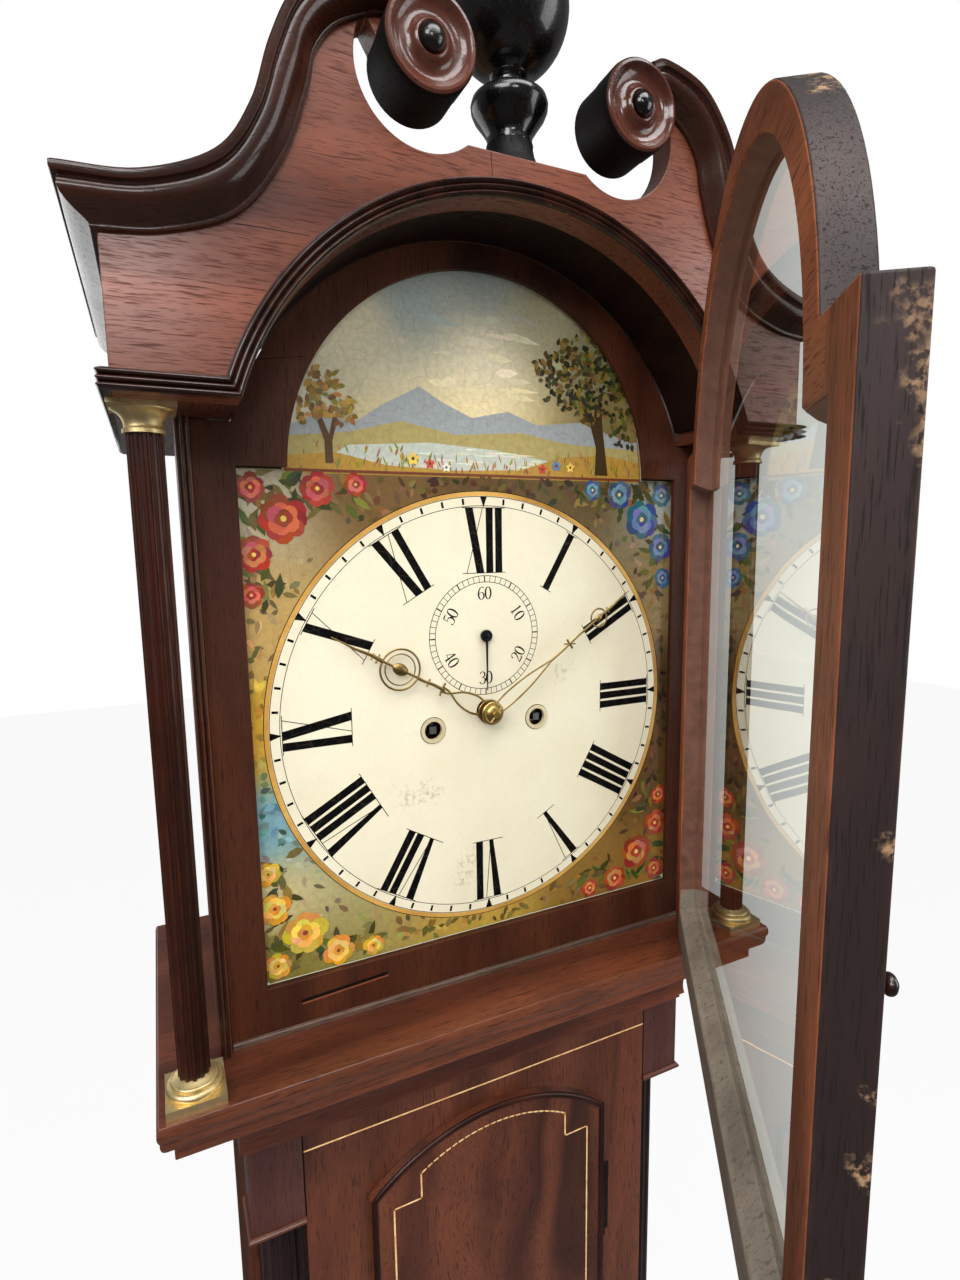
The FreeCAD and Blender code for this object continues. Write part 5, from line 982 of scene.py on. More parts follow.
def makeDoorBead():
    # a half-round bead along the edge of the trunk door, in darker wood as painted shade for the shadow line
    # beside it
    strip = dict(half=103.5, foot=-985, shoulder=-357, rise=40, face=-8, inset=2.6, radius=2.5)
    half, foot, shoulder = strip["half"], strip["foot"], strip["shoulder"]
    arch = lowArch(half, shoulder, strip["rise"], 48)[1:-1]
    outline = [(-half, foot), (-half, shoulder)] + arch + [(half, shoulder), (half, foot)]
    points = [Vector(point) for point in outline]
    section = arcPoints((strip["inset"], 0), strip["radius"], 0, math.pi, 8)
    rows = []
    for i, point in enumerate(points):
        before, after = points[i - 1], points[(i + 1) % len(points)]
        headings = [(point - before).normalized(), (after - point).normalized()]
        normals = [Vector((heading.y, -heading.x)) for heading in headings]
        inward = (normals[0] + normals[1]).normalized()
        inward = inward / max(0.5, inward.dot(normals[0]))
        row = []
        for far, out in section:
            row.append(at(point.x + inward.x * far, strip["face"] - out, point.y + inward.y * far))
        rows.append(row)
    bm = bmesh.new()
    bridgeRows(bm, rows, loop=True)
    woodPiece("trunkDoorBead", bm, "trunk_door", "columnWood", slotOf["trunk_door"], along(2))


def makeHairlines():
    # the slot in the mask and a painted highlight on its lower lip, a joint in the mask, cracks in the frieze,
    # joints beside the blocks
    lines = [
        dict(face=-6.5, slot="mask_wood", points=[(-145, -184, 2.2), (-84, -181, 2.2)]),
        # a pale line under the slot: painted highlight on its lower lip
        dict(
            face=-6.5, slot="mask_wood", look="hood_door_wood",
            points=[(-144.5, -186, 1.3), (-83.5, -183, 1.1)],
        ),
        dict(face=-6.5, slot="mask_wood", points=[(-150, 232, 0.5), (-121, 236.4, 0.4)]),
        dict(
            face=-69, slot="frieze_veneer",
            points=[(-166, 279.4, 0.5), (-150, 279.6, 0.4), (-130, 279.6, 0.3)],
        ),
        dict(
            face=-69, slot="frieze_veneer",
            points=[(-25.1, 341, 0.6), (-24.6, 332.8, 0.5), (-24, 325.5, 0.3)],
        ),
    ]
    for x in (-149, 149):
        lines.append(dict(face=-2, slot="case_wood", body="case", points=[(x, -288, 1.1), (x, -356, 1.1)]))
    for i, line in enumerate(lines):
        bm = bmesh.new()
        path = [Vector(point) for point in line["points"]]
        for start, end in zip(path, path[1:]):
            a, b = start.to_2d(), end.to_2d()
            heading = (b - a).normalized()
            across = Vector((-heading.y, heading.x)) / 2
            corners = [a - across * start.z, b - across * end.z, b + across * end.z, a + across * start.z]
            inkFace(bm, [tuple(corner) for corner in corners], -line["face"] + 0.05)
        look = materials[line.get("look", "blackWoodAndShade")]
        finishPiece(f"hairline{i}", bm, line.get("body", "hood"), look, line["slot"])


makeFinial()
makeMaskSill()
makeBlockFillets()
makeDoorBead()
makeFrieze()
makeSwanNecks()
makeArchReeds()
makePaterae()
makeJambBeads()
print("mouldings done")


# Pale lines let into the trunk and its door
def makeStringing():
    front = dict(body="case", face=-2.0, path=[(-148.2, -301.5), (148.2, -301.5)])
    door = dict(
        body="trunk_door", face=-8.0, corner=64, shoulder=-372, spring=-351, rise=18, side=86, foot=-968,
    )
    side, corner, shoulder, foot = door["side"], door["corner"], door["shoulder"], door["foot"]
    arch = lowArch(corner, door["spring"], door["rise"], 24)
    door["path"] = [(-side, foot), (-side, shoulder), (-corner, shoulder)] + arch
    door["path"] += [(corner, shoulder), (side, shoulder), (side, foot), (-side, foot)]
    width, proud = 1.3, 0.04
    for name, line in (("frontStringing", front), ("doorStringing", door)):
        bm = bmesh.new()
        for start, end in zip(line["path"], line["path"][1:]):
            a, b = Vector(start), Vector(end)
            step = (b - a).normalized() * width / 2
            across = Vector((-step.y, step.x))
            corners = [a - step - across, b + step - across, b + step + across, a - step + across]
            bm.faces.new([bm.verts.new(at(spot.x, line["face"] - proud, spot.y)) for spot in corners])
        finishPiece(name, bm, line["body"], stringMaterial, slotOf["trunk_front"])


makeStringing()
print("stringing done")


# The painted dial: figures in ink, a gilt band, and leaves, flowers and hills round the cream ground
def orderedFace(points):
    area = sum(a[0] * b[1] - b[0] * a[1] for a, b in zip(points, points[1:] + points[:1]))
    return points if area > 0 else list(reversed(points))


def inkFace(bm, points, depth=0.06):
    return bm.faces.new([bm.verts.new(at(x, -depth, z)) for x, z in orderedFace(points)])


def inkRing(bm, centre, inner, outer, steps, depth=0.06):
    for step in range(steps):
        first, last = [2 * math.pi * (step + part) / steps for part in (0, 1)]
        corners = []
        for radius, turn in ((inner, first), (outer, first), (outer, last), (inner, last)):
            corners.append((centre[0] + radius * math.sin(turn), centre[1] + radius * math.cos(turn)))
        inkFace(bm, corners, depth)


def turnedPoint(centre, angle, u, v):
    sine, cosine = math.sin(angle), math.cos(angle)
    return (centre[0] + v * sine + u * cosine, centre[1] + v * cosine - u * sine)


def romanStrokes(text, figure):
    # strokes of one hour figure, u across and v from its foot to its top
    widths = {"I": 7.3, "V": 14.5, "X": 16.0}
    top, half, hair = figure["height"], figure["thick"] / 2, figure["hair"] / 2
    waist = half * 0.95
    flank = [(half, 0), (waist, top * 0.3), (waist, top * 0.7), (half, top)]
    total = sum(widths[letter] for letter in text)
    strokes, start = [], -total / 2
    for letter in text:
        u = start + widths[letter] / 2
        if letter == "I":
            right, left = [(u + x, v) for x, v in flank], [(u - x, v) for x, v in flank]
            strokes.append(left[:1] + right + list(reversed(left[1:])))
        if letter == "V":
            strokes.append([(u - 0.6, 0), (u + 2.8, 0), (u - 0.7, top), (u - 6.9, top)])
            strokes.append(
                [(u + 1.2, 0), (u + 1.2 + hair * 2, 0), (u + 5.6 + hair, top), (u + 5.6 - hair, top)]
            )
        if letter == "X":
            strokes.append([(u + 1.2, 0), (u + 7.3, 0), (u - 1.2, top), (u - 7.3, top)])
            strokes.append(
                [(u - 6.4 - hair, 0), (u - 6.4 + hair, 0), (u + 6.4 + hair, top), (u + 6.4 - hair, top)]
            )
        start += widths[letter]
    reach = total / 2 + figure["serif"]
    for low in (-hair, top - hair):
        strokes.append([(-reach, low), (reach, low), (reach, low + hair * 2), (-reach, low + hair * 2)])
    return strokes


def inkRibbon(bm, place, stroke):
    # a pen stroke: points of its middle line, each with its width
    path = smoothPath(stroke, 4)
    sides = []
    for i, point in enumerate(path):
        heading = (path[min(i + 1, len(path) - 1)] - path[max(i - 1, 0)]).to_2d().normalized()
        across = Vector((-heading.y, heading.x)) * point.z / 2
        middle = point.to_2d()
        sides.append((middle - across, middle + across))
    for (a, b), (c, d) in zip(sides, sides[1:]):
        inkFace(bm, [place(corner.x, corner.y) for corner in (a, c, d, b)])


ovalTurns = [math.tau * step / 16 for step in range(17)]
penStrokes = {
    "0": [[(2.3 * math.sin(t), 4.8 * math.cos(t), 0.5 + 0.9 * abs(math.sin(t))) for t in ovalTurns]],
    "1": [
        [(-1.5, 3.2, 0.4), (0, 4.8, 0.7)], [(0, 4.8, 1.3), (0, 0, 1.2), (0, -4.6, 1.3)],
        [(-1.6, -4.7, 0.45), (1.6, -4.7, 0.45)],
    ],
    "2": [
        [
            (-2.2, 2.6, 1.3), (-1.5, 4.2, 0.7), (0, 4.9, 0.5), (1.8, 4, 1), (2.2, 2.4, 1.4), (1.2, 0.2, 1),
            (-0.8, -2.4, 0.6), (-2.3, -4.3, 0.4),
        ],
        [(-2.4, -4.4, 0.9), (1.8, -4.4, 1.1), (2.6, -3, 0.4)],
    ],
    "3": [
        [
            (-2, 3.4, 1.1), (-1, 4.7, 0.6), (0.6, 4.8, 0.6), (1.9, 3.6, 1.2), (1.8, 1.8, 1.1),
            (0.4, 0.6, 0.5), (-0.6, 0.4, 0.4),
        ],
        [
            (-0.6, 0.4, 0.4), (1.2, 0.1, 0.6), (2.4, -1.6, 1.4), (1.8, -3.8, 1.1), (0.2, -4.9, 0.5),
            (-1.6, -4.5, 0.7), (-2.3, -3.2, 1.2),
        ],
    ],
    "4": [
        [(1, 4.9, 1.3), (1, 0, 1.2), (1, -4.7, 1.3)], [(1, 4.9, 0.5), (-2.6, -1.9, 0.5)],
        [(-2.6, -1.9, 0.5), (2.8, -1.9, 0.5)], [(-0.4, -4.7, 0.4), (2.4, -4.7, 0.4)],
    ],
    "5": [
        [(-1.5, 4.5, 1), (0.6, 4.5, 1), (2.3, 4.8, 0.4)], [(-1.5, 4.6, 0.5), (-1.8, 0.6, 0.5)],
        [
            (-1.8, 0.6, 0.4), (-0.2, 1.3, 0.5), (1.6, 0.6, 1.1), (2.4, -1.6, 1.4), (1.6, -4, 1),
            (-0.2, -4.9, 0.5), (-1.8, -4.4, 0.7), (-2.3, -3.2, 1.1),
        ],
    ],
    "6": [
        [
            (2, 3.9, 1), (1.2, 4.8, 0.6), (-0.4, 4.5, 0.6), (-2, 2.2, 1.1), (-2.4, -1.2, 1.4),
            (-1.6, -4, 1), (0.2, -4.9, 0.5), (1.9, -3.6, 1.1), (2.2, -1.6, 1.3), (1.2, 0.2, 0.9),
            (-0.2, 0.6, 0.5), (-1.8, -0.6, 0.4),
        ]
    ],
}


def writeNumber(bm, text, size, centre, angle, away, flip):
    pitch = 5.9
    turn = angle + (math.pi if flip else 0)
    middle = turnedPoint(centre, angle, 0, away)
    for i, digit in enumerate(text):
        shift = (i - (len(text) - 1) / 2) * pitch
        for stroke in penStrokes[digit]:
            inkRibbon(bm, lambda u, v: turnedPoint(middle, turn, (u + shift) * size, v * size), stroke)


def makeDialFigures():
    figure = dict(foot=101, height=46, thick=5.7, hair=0.55, serif=1.6)
    track = dict(dash=(149.6, 153.8), wide=1.7, thin=148.4, outer=154.9, apex=147.2, wedge=2.7, line=0.22)
    seconds = dict(
        centre=(0, 55.5), rings=(43.5, 39.0), away=31.0, size=0.92, line=0.24, turnedOver=(2, 3, 4),
    )
    tick = dict(one=0.45, five=0.9)
    collet = dict(x=42.3, z=-10, radius=9.2, line=0.5)
    band = dict(gilt=(155.3, 158.4), giltDepth=0.07, edge=(158.3, 158.8), edgeDepth=0.09)
    middle = (0, 0)
    hours = ("XII", "I", "II", "III", "IIII", "V", "VI", "VII", "VIII", "IX", "X", "XI")
    bm = bmesh.new()

    def dash(centre, angle, wide, low, high):
        corners = [(-wide / 2, low), (wide / 2, low), (wide / 2, high), (-wide / 2, high)]
        inkFace(bm, [turnedPoint(centre, angle, u, v) for u, v in corners])

    def circle(centre, radius, line, steps):
        inkRing(bm, centre, radius - line, radius + line, steps)

    for hour, text in enumerate(hours):
        angle = math.radians(30 * hour)
        for stroke in romanStrokes(text, figure):
            inkFace(bm, [turnedPoint(middle, angle, u, figure["foot"] + v) for u, v in stroke])
    for minute in range(60):
        angle = math.radians(6 * minute)
        outer, inner = seconds["rings"]
        if minute % 5 == 0:
            wedge = [(0, track["apex"]), (track["wedge"], track["outer"]), (-track["wedge"], track["outer"])]
            inkFace(bm, [turnedPoint(middle, angle, u, v) for u, v in wedge])
        else:
            dash(middle, angle, track["wide"], *track["dash"])
        dash(seconds["centre"], angle, tick["five"] if minute % 5 == 0 else tick["one"], inner, outer)
    for radius in (track["thin"], track["outer"]):
        circle(middle, radius, track["line"], 180)
    inkRing(bm, middle, *band["edge"], 180, band["edgeDepth"])
    for radius in seconds["rings"]:
        circle(seconds["centre"], radius, seconds["line"], 120)
    # a dark ring round each winding collet: painted shade at its edge, with some verdigris
    for x in (-collet["x"], collet["x"]):
        inkRing(bm, (x, collet["z"]), collet["radius"], collet["radius"] + collet["line"], 60)
    for step, text in enumerate(("60", "10", "20", "30", "40", "50")):
        angle, flip = math.radians(60 * step), step in seconds["turnedOver"]
        writeNumber(bm, text, seconds["size"], seconds["centre"], angle, seconds["away"], flip)
    finishPiece("dialFigures", bm, "case", inkMaterial, "dial_paint")
    bm = bmesh.new()
    inkRing(bm, middle, *band["gilt"], 180, band["giltDepth"])
    finishPiece("dialBand", bm, "case", giltMaterial, "dial_paint")


def blendColor(anchors, x, z):
    softness = 80
    total, weights = Vector((0, 0, 0)), 0
    for anchorX, anchorZ, color in anchors:
        weight = 1 / ((x - anchorX) ** 2 + (z - anchorZ) ** 2 + softness) ** 1.5
        total += Vector(color) * weight
        weights += weight
    return total / weights


def makeDialScenes():
    chance = random.Random(23)
    draw = chance.uniform
    bm = bmesh.new()
    layer = bm.loops.layers.float_color.new("paint")
    made, keepOut = 0, True
    ground, edge, cornerTop = 159, 169, 168.6
    archRadius, archFoot = 137.4, 167
    firstLayer, layerStep = 0.1, 0.0005
    counts = dict(leaves=420, spray=64, clouds=34, ripples=22, grass=150)
    cornerField = [
        (0, 165, (88, 64, 30)), (-160, 160, (176, 166, 140)), (160, 160, (156, 160, 150)),
        (-162, 70, (176, 144, 84)), (-162, 0, (190, 146, 46)), (-162, -60, (110, 150, 160)),
        (-162, -110, (190, 172, 120)), (-160, -162, (120, 108, 44)), (0, -166, (176, 142, 58)),
        (90, -162, (130, 96, 40)), (160, -160, (150, 108, 44)), (162, -80, (92, 66, 34)),
        (162, 0, (84, 60, 34)), (162, 80, (140, 118, 78)), (80, 160, (92, 72, 38)),
        (-80, 160, (108, 80, 42)),
    ]
    archField = [
        (0, 300, (150, 158, 152)), (-90, 262, (214, 204, 172)), (90, 255, (130, 126, 92)),
        (0, 246, (226, 214, 182)), (-120, 206, (196, 194, 172)), (0, 214, (230, 212, 166)),
        (110, 206, (120, 106, 62)), (0, 178, (204, 158, 68)), (-110, 176, (186, 146, 66)),
        (110, 176, (150, 108, 46)), (50, 284, (164, 156, 126)), (-50, 284, (156, 166, 162)),
    ]

    def paint(color, spread):
        r, g, b = [min(255, max(0, channel + draw(-spread, spread))) for channel in color]
        return shade(r, g, b)

    def dab(points, color):
        nonlocal made
        made += 1
        placed = []
        for x, z in points:
            if keepOut:
                push = max(1, ground / max(math.hypot(x, z), 0.001))
                x, z = max(-edge, min(edge, x * push)), max(-edge, min(cornerTop, z * push))
            placed.append((x, z))
        face = inkFace(bm, placed, firstLayer + made * layerStep)
        for loop in face.loops:
            loop[layer] = color

    def field(points, anchors, depth):
        rows = []
        for row in points:
            tones = [shade(*blendColor(anchors, x, z)) for x, z in row]
            rows.append([(bm.verts.new(at(x, -depth, z)), tone) for (x, z), tone in zip(row, tones)])
        for low, high in zip(rows, rows[1:]):
            for i in range(len(low) - 1):
                corners = (low[i], low[i + 1], high[i + 1], high[i])
                face = bm.faces.new([corner[0] for corner in corners])
                face.normal_update()
                colors = {corner[0]: corner[1] for corner in corners}
                for loop in face.loops:
                    loop[layer] = colors[loop.vert]
                if face.normal.y > 0:
                    face.normal_flip()

    def leaf(x, z, angle, length, width, color):
        shape = ((0, 0), (0.28, 0.4), (0.62, 0.36), (1, 0), (0.62, -0.36), (0.28, -0.4))
        dab([turnedPoint((x, z), angle, width * t, length * s) for s, t in shape], color)

    def roundDab(x, z, radius, color):
        dab([turnedPoint((x, z), math.tau * i / 9, 0, radius) for i in range(9)], color)

    def flower(x, z, size, petals, inner, heart):
        whorls = ((8, 0.62, 0.44, petals), (6, 0.36, 0.36, inner), (4, 0.16, 0.24, petals))
        for count, reach, share, tone in whorls:
            for petal in range(count):
                angle = math.tau * petal / count + draw(-0.3, 0.3)
                px, pz = turnedPoint((x, z), angle, 0, size * reach)
                roundDab(px, pz, size * share * draw(0.85, 1.1), paint(tone, 22))
        roundDab(x, z, size * 0.13, paint(heart, 10))

    def squareReach(turn, half):
        return half / max(abs(math.cos(turn)), abs(math.sin(turn)))

    inner, outer = 158.6, 169.3
    rings = []
    for part in range(7):
        ring = []
        for step in range(181):
            turn = math.tau * step / 180
            away = inner + (squareReach(turn, outer) - inner) * part / 6
            ring.append((away * math.sin(turn), away * math.cos(turn)))
        rings.append(ring)
    field(rings, cornerField, 0.05)
    arcs = [arcPoints((0, archFoot), archRadius * part / 16, 0, math.pi, 60) for part in range(1, 17)]
    field(arcs, archField, 0.04)

    # corners: soft leaves behind, then a spray of flowers in each
    for step in range(counts["leaves"]):
        angle = draw(0, math.tau)
        away = draw(160, squareReach(angle, 166))
        x, z = away * math.sin(angle), away * math.cos(angle)
        tone = blendColor(cornerField, x, z) * draw(0.5, 1.16)
        leaf(x, z, draw(0, math.tau), draw(5, 11), draw(3, 6), paint(tone, 14))
    sprays = [
        dict(side=(-1, 1), petals=(150, 50, 38), inner=(190, 96, 74), heart=(214, 170, 76)),
        dict(side=(1, 1), petals=(60, 86, 118), inner=(110, 136, 156), heart=(222, 200, 140)),
        dict(side=(-1, -1), petals=(196, 148, 46), inner=(222, 184, 92), heart=(140, 64, 34)),
        dict(side=(1, -1), petals=(160, 60, 38), inner=(200, 120, 70), heart=(226, 196, 104)),
    ]
    blooms = ((139, 139, 15), (158, 117, 11), (117, 158, 11), (161, 92, 8), (92, 161, 7.5), (158, 158, 9))
    for spray in sprays:
        sideX, sideZ = spray["side"]
        for step in range(counts["spray"]):
            part = draw(0, 1)
            reach = 166 - 84 * part
            x, z = (reach, 164 - 12 * part) if step % 2 else (164 - 12 * part, reach)
            x, z = sideX * (x + draw(-9, 3)), sideZ * (z + draw(-9, 3))
            green = ((62, 66, 30), (92, 86, 38), (126, 108, 50))[step % 3]
            angle, length, width = draw(0, math.tau), draw(9, 17), draw(4, 7)
            leaf(x, z, angle, length, width, paint(green, 14))
        for x, z, size in blooms:
            flower(sideX * x, sideZ * z, size, spray["petals"], spray["inner"], spray["heart"])

    # arch: far hills over a lake, near banks, a small tree on the left and a large one on the right
    farHills = [
        (-136, 168), (136, 168), (133, 198), (110, 202), (80, 210), (44, 206), (20, 214), (-8, 208),
        (-30, 217), (-46, 226), (-70, 214), (-92, 200), (-112, 205), (-134, 196),
    ]
    farBank = [
        (-136, 168), (136, 168), (134, 192), (70, 194), (30, 200), (-20, 196), (-60, 203), (-96, 194),
        (-135, 190),
    ]
    lake = [(-118, 172), (60, 172), (54, 181), (10, 187), (-40, 190), (-96, 186)]
    nearBank = [
        (-136, 167.5), (136, 167.5), (135, 182), (104, 187), (64, 184), (30, 174), (-20, 172), (-70, 174),
        (-104, 181), (-136, 178),
    ]
    border = [(-137, 168.4), (137, 168.4), (137, 170.2), (-137, 170.2)]
    made, keepOut = 0, False
    for step in range(counts["clouds"]):
        x, z = draw(-116, 116), draw(226, 290)
        if math.hypot(x, z - archFoot) < 120:
            tone = blendColor(archField, x, z) * draw(1.0, 1.1)
            angle = math.pi / 2 + draw(-0.25, 0.25)
            leaf(x, z, angle, draw(10, 34), draw(3, 8), paint(tone, 5))
    dab(farHills, paint((146, 154, 152), 4))
    dab(farBank, paint((166, 146, 90), 4))
    dab(lake, paint((184, 190, 178), 4))
    for step in range(counts["ripples"]):
        x, z = draw(-92, 44), draw(174, 187)
        leaf(x, z, math.pi / 2, draw(8, 24), 1.1, paint((214, 208, 182), 16))
    dab(nearBank, paint((178, 136, 58), 6))
    for step in range(counts["grass"]):
        x = draw(-132, 132)
        z = draw(169, 178 if abs(x) < 60 else 184)
        angle, length, width = draw(-0.5, 0.5), draw(3, 8), draw(1, 2.2)
        leaf(x, z, angle, length, width, paint((150, 116, 48), 34))
    trees = [
        dict(
            trunk=[
                (106, 172), (94, 172), (95, 192), (90, 208), (74, 226), (78, 229), (93, 213), (94, 230),
                (99, 230), (101, 206),
            ],
            bark=(58, 42, 26),
            crowns=(
                (98, 240, 21), (78, 236, 18), (114, 226, 18), (62, 230, 13), (88, 258, 18), (108, 250, 15),
                (68, 254, 14), (122, 206, 13), (52, 246, 9), (84, 220, 10),
            ),
            leaves=((58, 58, 28), (88, 78, 36), (126, 104, 48), (40, 42, 22)),
        ),
        dict(
            trunk=[
                (-106, 174), (-111, 174), (-111, 188), (-115, 200), (-112, 202), (-108, 192), (-105, 203),
                (-102, 202), (-106, 188),
            ],
            bark=(88, 62, 38), crowns=((-108, 214, 12), (-119, 206, 9), (-98, 208, 9), (-112, 224, 8)),
            leaves=((150, 108, 46), (176, 132, 58), (116, 88, 42), (132, 114, 56)),
        ),
    ]
    for tree in trees:
        dab(tree["trunk"], paint(tree["bark"], 4))
        for x, z, size in tree["crowns"]:
            for step in range(int(size * 3)):
                angle, away = draw(0, math.tau), size * math.sqrt(chance.random())
                tone = tree["leaves"][step % 4]
                px, pz = x + away * math.cos(angle), z + away * math.sin(angle)
                angle, length, width = draw(0, math.tau), draw(4, 7), draw(3, 5)
                leaf(px, pz, angle, length, width, paint(tone, 14))
    posies = (
        (-40, 176, 4, (196, 70, 52)), (-52, 179, 5, (226, 190, 90)), (-28, 174, 3.6, (214, 214, 206)),
        (48, 175, 4, (196, 70, 52)), (60, 178, 4.6, (92, 120, 166)), (72, 177, 4, (226, 190, 90)),
    )
    for x, z, size, petals in posies:
        for petal in range(5):
            leaf(x, z, math.tau * petal / 5, size, size * 0.8, paint(petals, 12))
        roundDab(x, z, size * 0.25, paint((90, 70, 30), 6))
    dab(border, shade(112, 58, 36))
    finishPiece("dialScenes", bm, "case", sceneMaterial, "dial_paint")


makeDialFigures()
makeDialScenes()
makeHairlines()
print("dial done")


# Hands: thin rounded wire, drawn along v from the arbor
def wire(bm, place, points, radii, loop=False, flat=0.62):
    points = [Vector(point) for point in points]
    if not isinstance(radii, (list, tuple)):
        radii = [radii] * len(points)
    rows = []
    for i, point in enumerate(points):
        before = points[i - 1] if i or loop else point
        after = points[(i + 1) % len(points)] if i + 1 < len(points) or loop else point
        heading = (after - before).normalized()
        across = Vector((-heading.y, heading.x))
        row = []
        for step in range(10):
            turn = math.tau * step / 10
            side = point + across * radii[i] * math.cos(turn)
            row.append(place(side.x, side.y, radii[i] * flat * math.sin(turn)))
        rows.append(row)
    bridgeRows(bm, rows, loop)


def circleOf(v, radius):
    turns = [math.tau * step / 40 for step in range(40)]
    return [(radius * math.sin(turn), v + radius * math.cos(turn)) for turn in turns]


def handPlace(centre, angle, depth):
    def place(u, v, out):
        x, z = turnedPoint(centre, angle, u, v)
        return at(x, depth - out, z)
    return place


def bead(bm, place, v, long, wide):
    # a turned lozenge threaded on the hand
    steps = [math.pi * i / 8 for i in range(1, 8)]
    wire(
        bm, place, [(0, v - long * math.cos(t)) for t in steps], [wide * math.sin(t) for t in steps],
        flat=0.5,
    )


def closeHand(bm, name, node):
    bmesh.ops.recalc_face_normals(bm, faces=bm.faces)
    piece = finishPiece(name, bm, bodyOf[node], materials[slotOf[node]], slotOf[node])
    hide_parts(node)
    smoothPiece(piece, 40)


def makeHourHand():
    hand = dict(angle=math.radians(-61), depth=-5.7, length=130, ring=77, ringRadius=14.2)
    collet = [(5.2, 0.5), (9, 0.5), (9.2, 0), (8.8, -0.5), (7, -0.8), (5.2, -0.6), (5.2, 0.5)]
    place = handPlace((0, 0), hand["angle"], hand["depth"])
    bm = bmesh.new()
    turned(bm, collet, at(0, hand["depth"], 0), axes[1], 48)
    for side in (-1, 1):
        strand = [(side * 5, 6.5), (side * 6.6, 15), (side * 4.6, 26), (side * -0.6, 36), (side * -1.6, 42)]
        wire(bm, place, smoothPath(strand, 5), 0.8)
    wire(bm, place, [(-5, 42), (-2, 42.4), (2, 42.4), (5, 42)], [1.1, 0.8, 0.8, 1.1])
    wire(bm, place, [(0, 40), (0.4, 50), (-0.3, 58), (0, hand["ring"] - 14)], [1.3, 1.0, 1.0, 1.3])
    wire(bm, place, [(-3, 54), (3, 54)], 0.8)
    wire(bm, place, circleOf(hand["ring"], hand["ringRadius"]), 0.75, loop=True)
    wire(bm, place, circleOf(hand["ring"], hand["ringRadius"] - 3.4), 0.5, loop=True)
    wire(bm, place, [(0, hand["ring"] - 14), (0, hand["ring"] + 14)], 0.8)
    bead(bm, place, hand["ring"], 6, 4.2)
    wire(bm, place, [(-3.4, 95), (3.4, 95)], 0.8)
    wire(bm, place, [(-2.4, 99), (2.4, 99)], 0.7)
    wire(bm, place, [(0, 91), (0.5, 100), (-0.4, 112), (0, hand["length"])], [1.5, 1.2, 0.9, 0.35])
    closeHand(bm, "hourHand", "hour_hand")


def makeMinuteHand():
    hand = dict(angle=math.radians(55), depth=-10.7, length=146, ring=112, ringRadius=7)
    boss = [
        (2.2, 0.9), (8.2, 0.9), (8.5, 0.2), (8.5, -0.8), (8.0, -1.3), (7.3, -1.5), (7.1, -2.2), (6.4, -3.6),
        (5.0, -4.7), (3.4, -5.3), (2.2, -5.6), (2.2, 0.9),
    ]
    place = handPlace((0, 0), hand["angle"], hand["depth"])
    bm = bmesh.new()
    turned(bm, boss, at(0, hand["depth"], 0), axes[1], 56)
    for side in (-1, 1):
        strand = [(side * 4, 6), (side * 5, 18), (side * 4.2, 36), (side * 1.4, 54), (0, 62)]
        wire(bm, place, smoothPath(strand, 5), 0.75)
    wire(bm, place, [(0, 58), (0.4, 72), (-0.3, 90), (0, hand["ring"] - 7)], [1.1, 0.9, 0.9, 1.1])
    wire(bm, place, [(-4.2, 80), (4.2, 80)], 0.9)
    wire(bm, place, [(-3, 76), (3, 84)], 0.6)
    wire(bm, place, circleOf(hand["ring"], hand["ringRadius"]), 0.7, loop=True)
    wire(bm, place, [(0, hand["ring"] - 7), (0, hand["ring"] + 7)], 0.7)
    bead(bm, place, hand["ring"], 3.6, 2.5)
    wire(bm, place, [(-2.4, 122), (2.4, 122)], 0.6)
    wire(bm, place, [(0, 118.5), (0.3, 128), (-0.2, 137), (0, hand["length"])], [1.2, 0.9, 0.7, 0.3])
    pin = handPlace((0, 0), math.radians(40), hand["depth"] - 6.1)
    wire(bm, pin, [(0, -6.5), (0, 6.5)], [0.75, 0.5], flat=1.0)
    closeHand(bm, "minuteHand", "minute_hand")


def makeSecondsHand():
    hand = dict(centre=(0, 55.5), depth=-2.8, length=40)
    boss = [
        (0, 1.2), (4.4, 1.2), (4.6, 0.4), (4.2, -0.5), (3.4, -0.6), (3.0, -0.1), (2.4, -0.1), (2.0, -0.9),
        (1.0, -1.3), (0, -1.4),
    ]
    place = handPlace(hand["centre"], math.pi, hand["depth"])
    bm = bmesh.new()
    turned(bm, boss, at(0, hand["depth"], hand["centre"][1]), axes[1], 36)
    wire(bm, place, [(0, -4.4), (0, 0), (0, 12), (0, hand["length"])], [0.9, 1.1, 0.85, 0.4], flat=0.5)
    bmesh.ops.remove_doubles(bm, verts=bm.verts, dist=0.005 * mm)
    closeHand(bm, "secondsHand", "seconds_hand")


makeHourHand()
makeMinuteHand()
makeSecondsHand()
print("hands done")


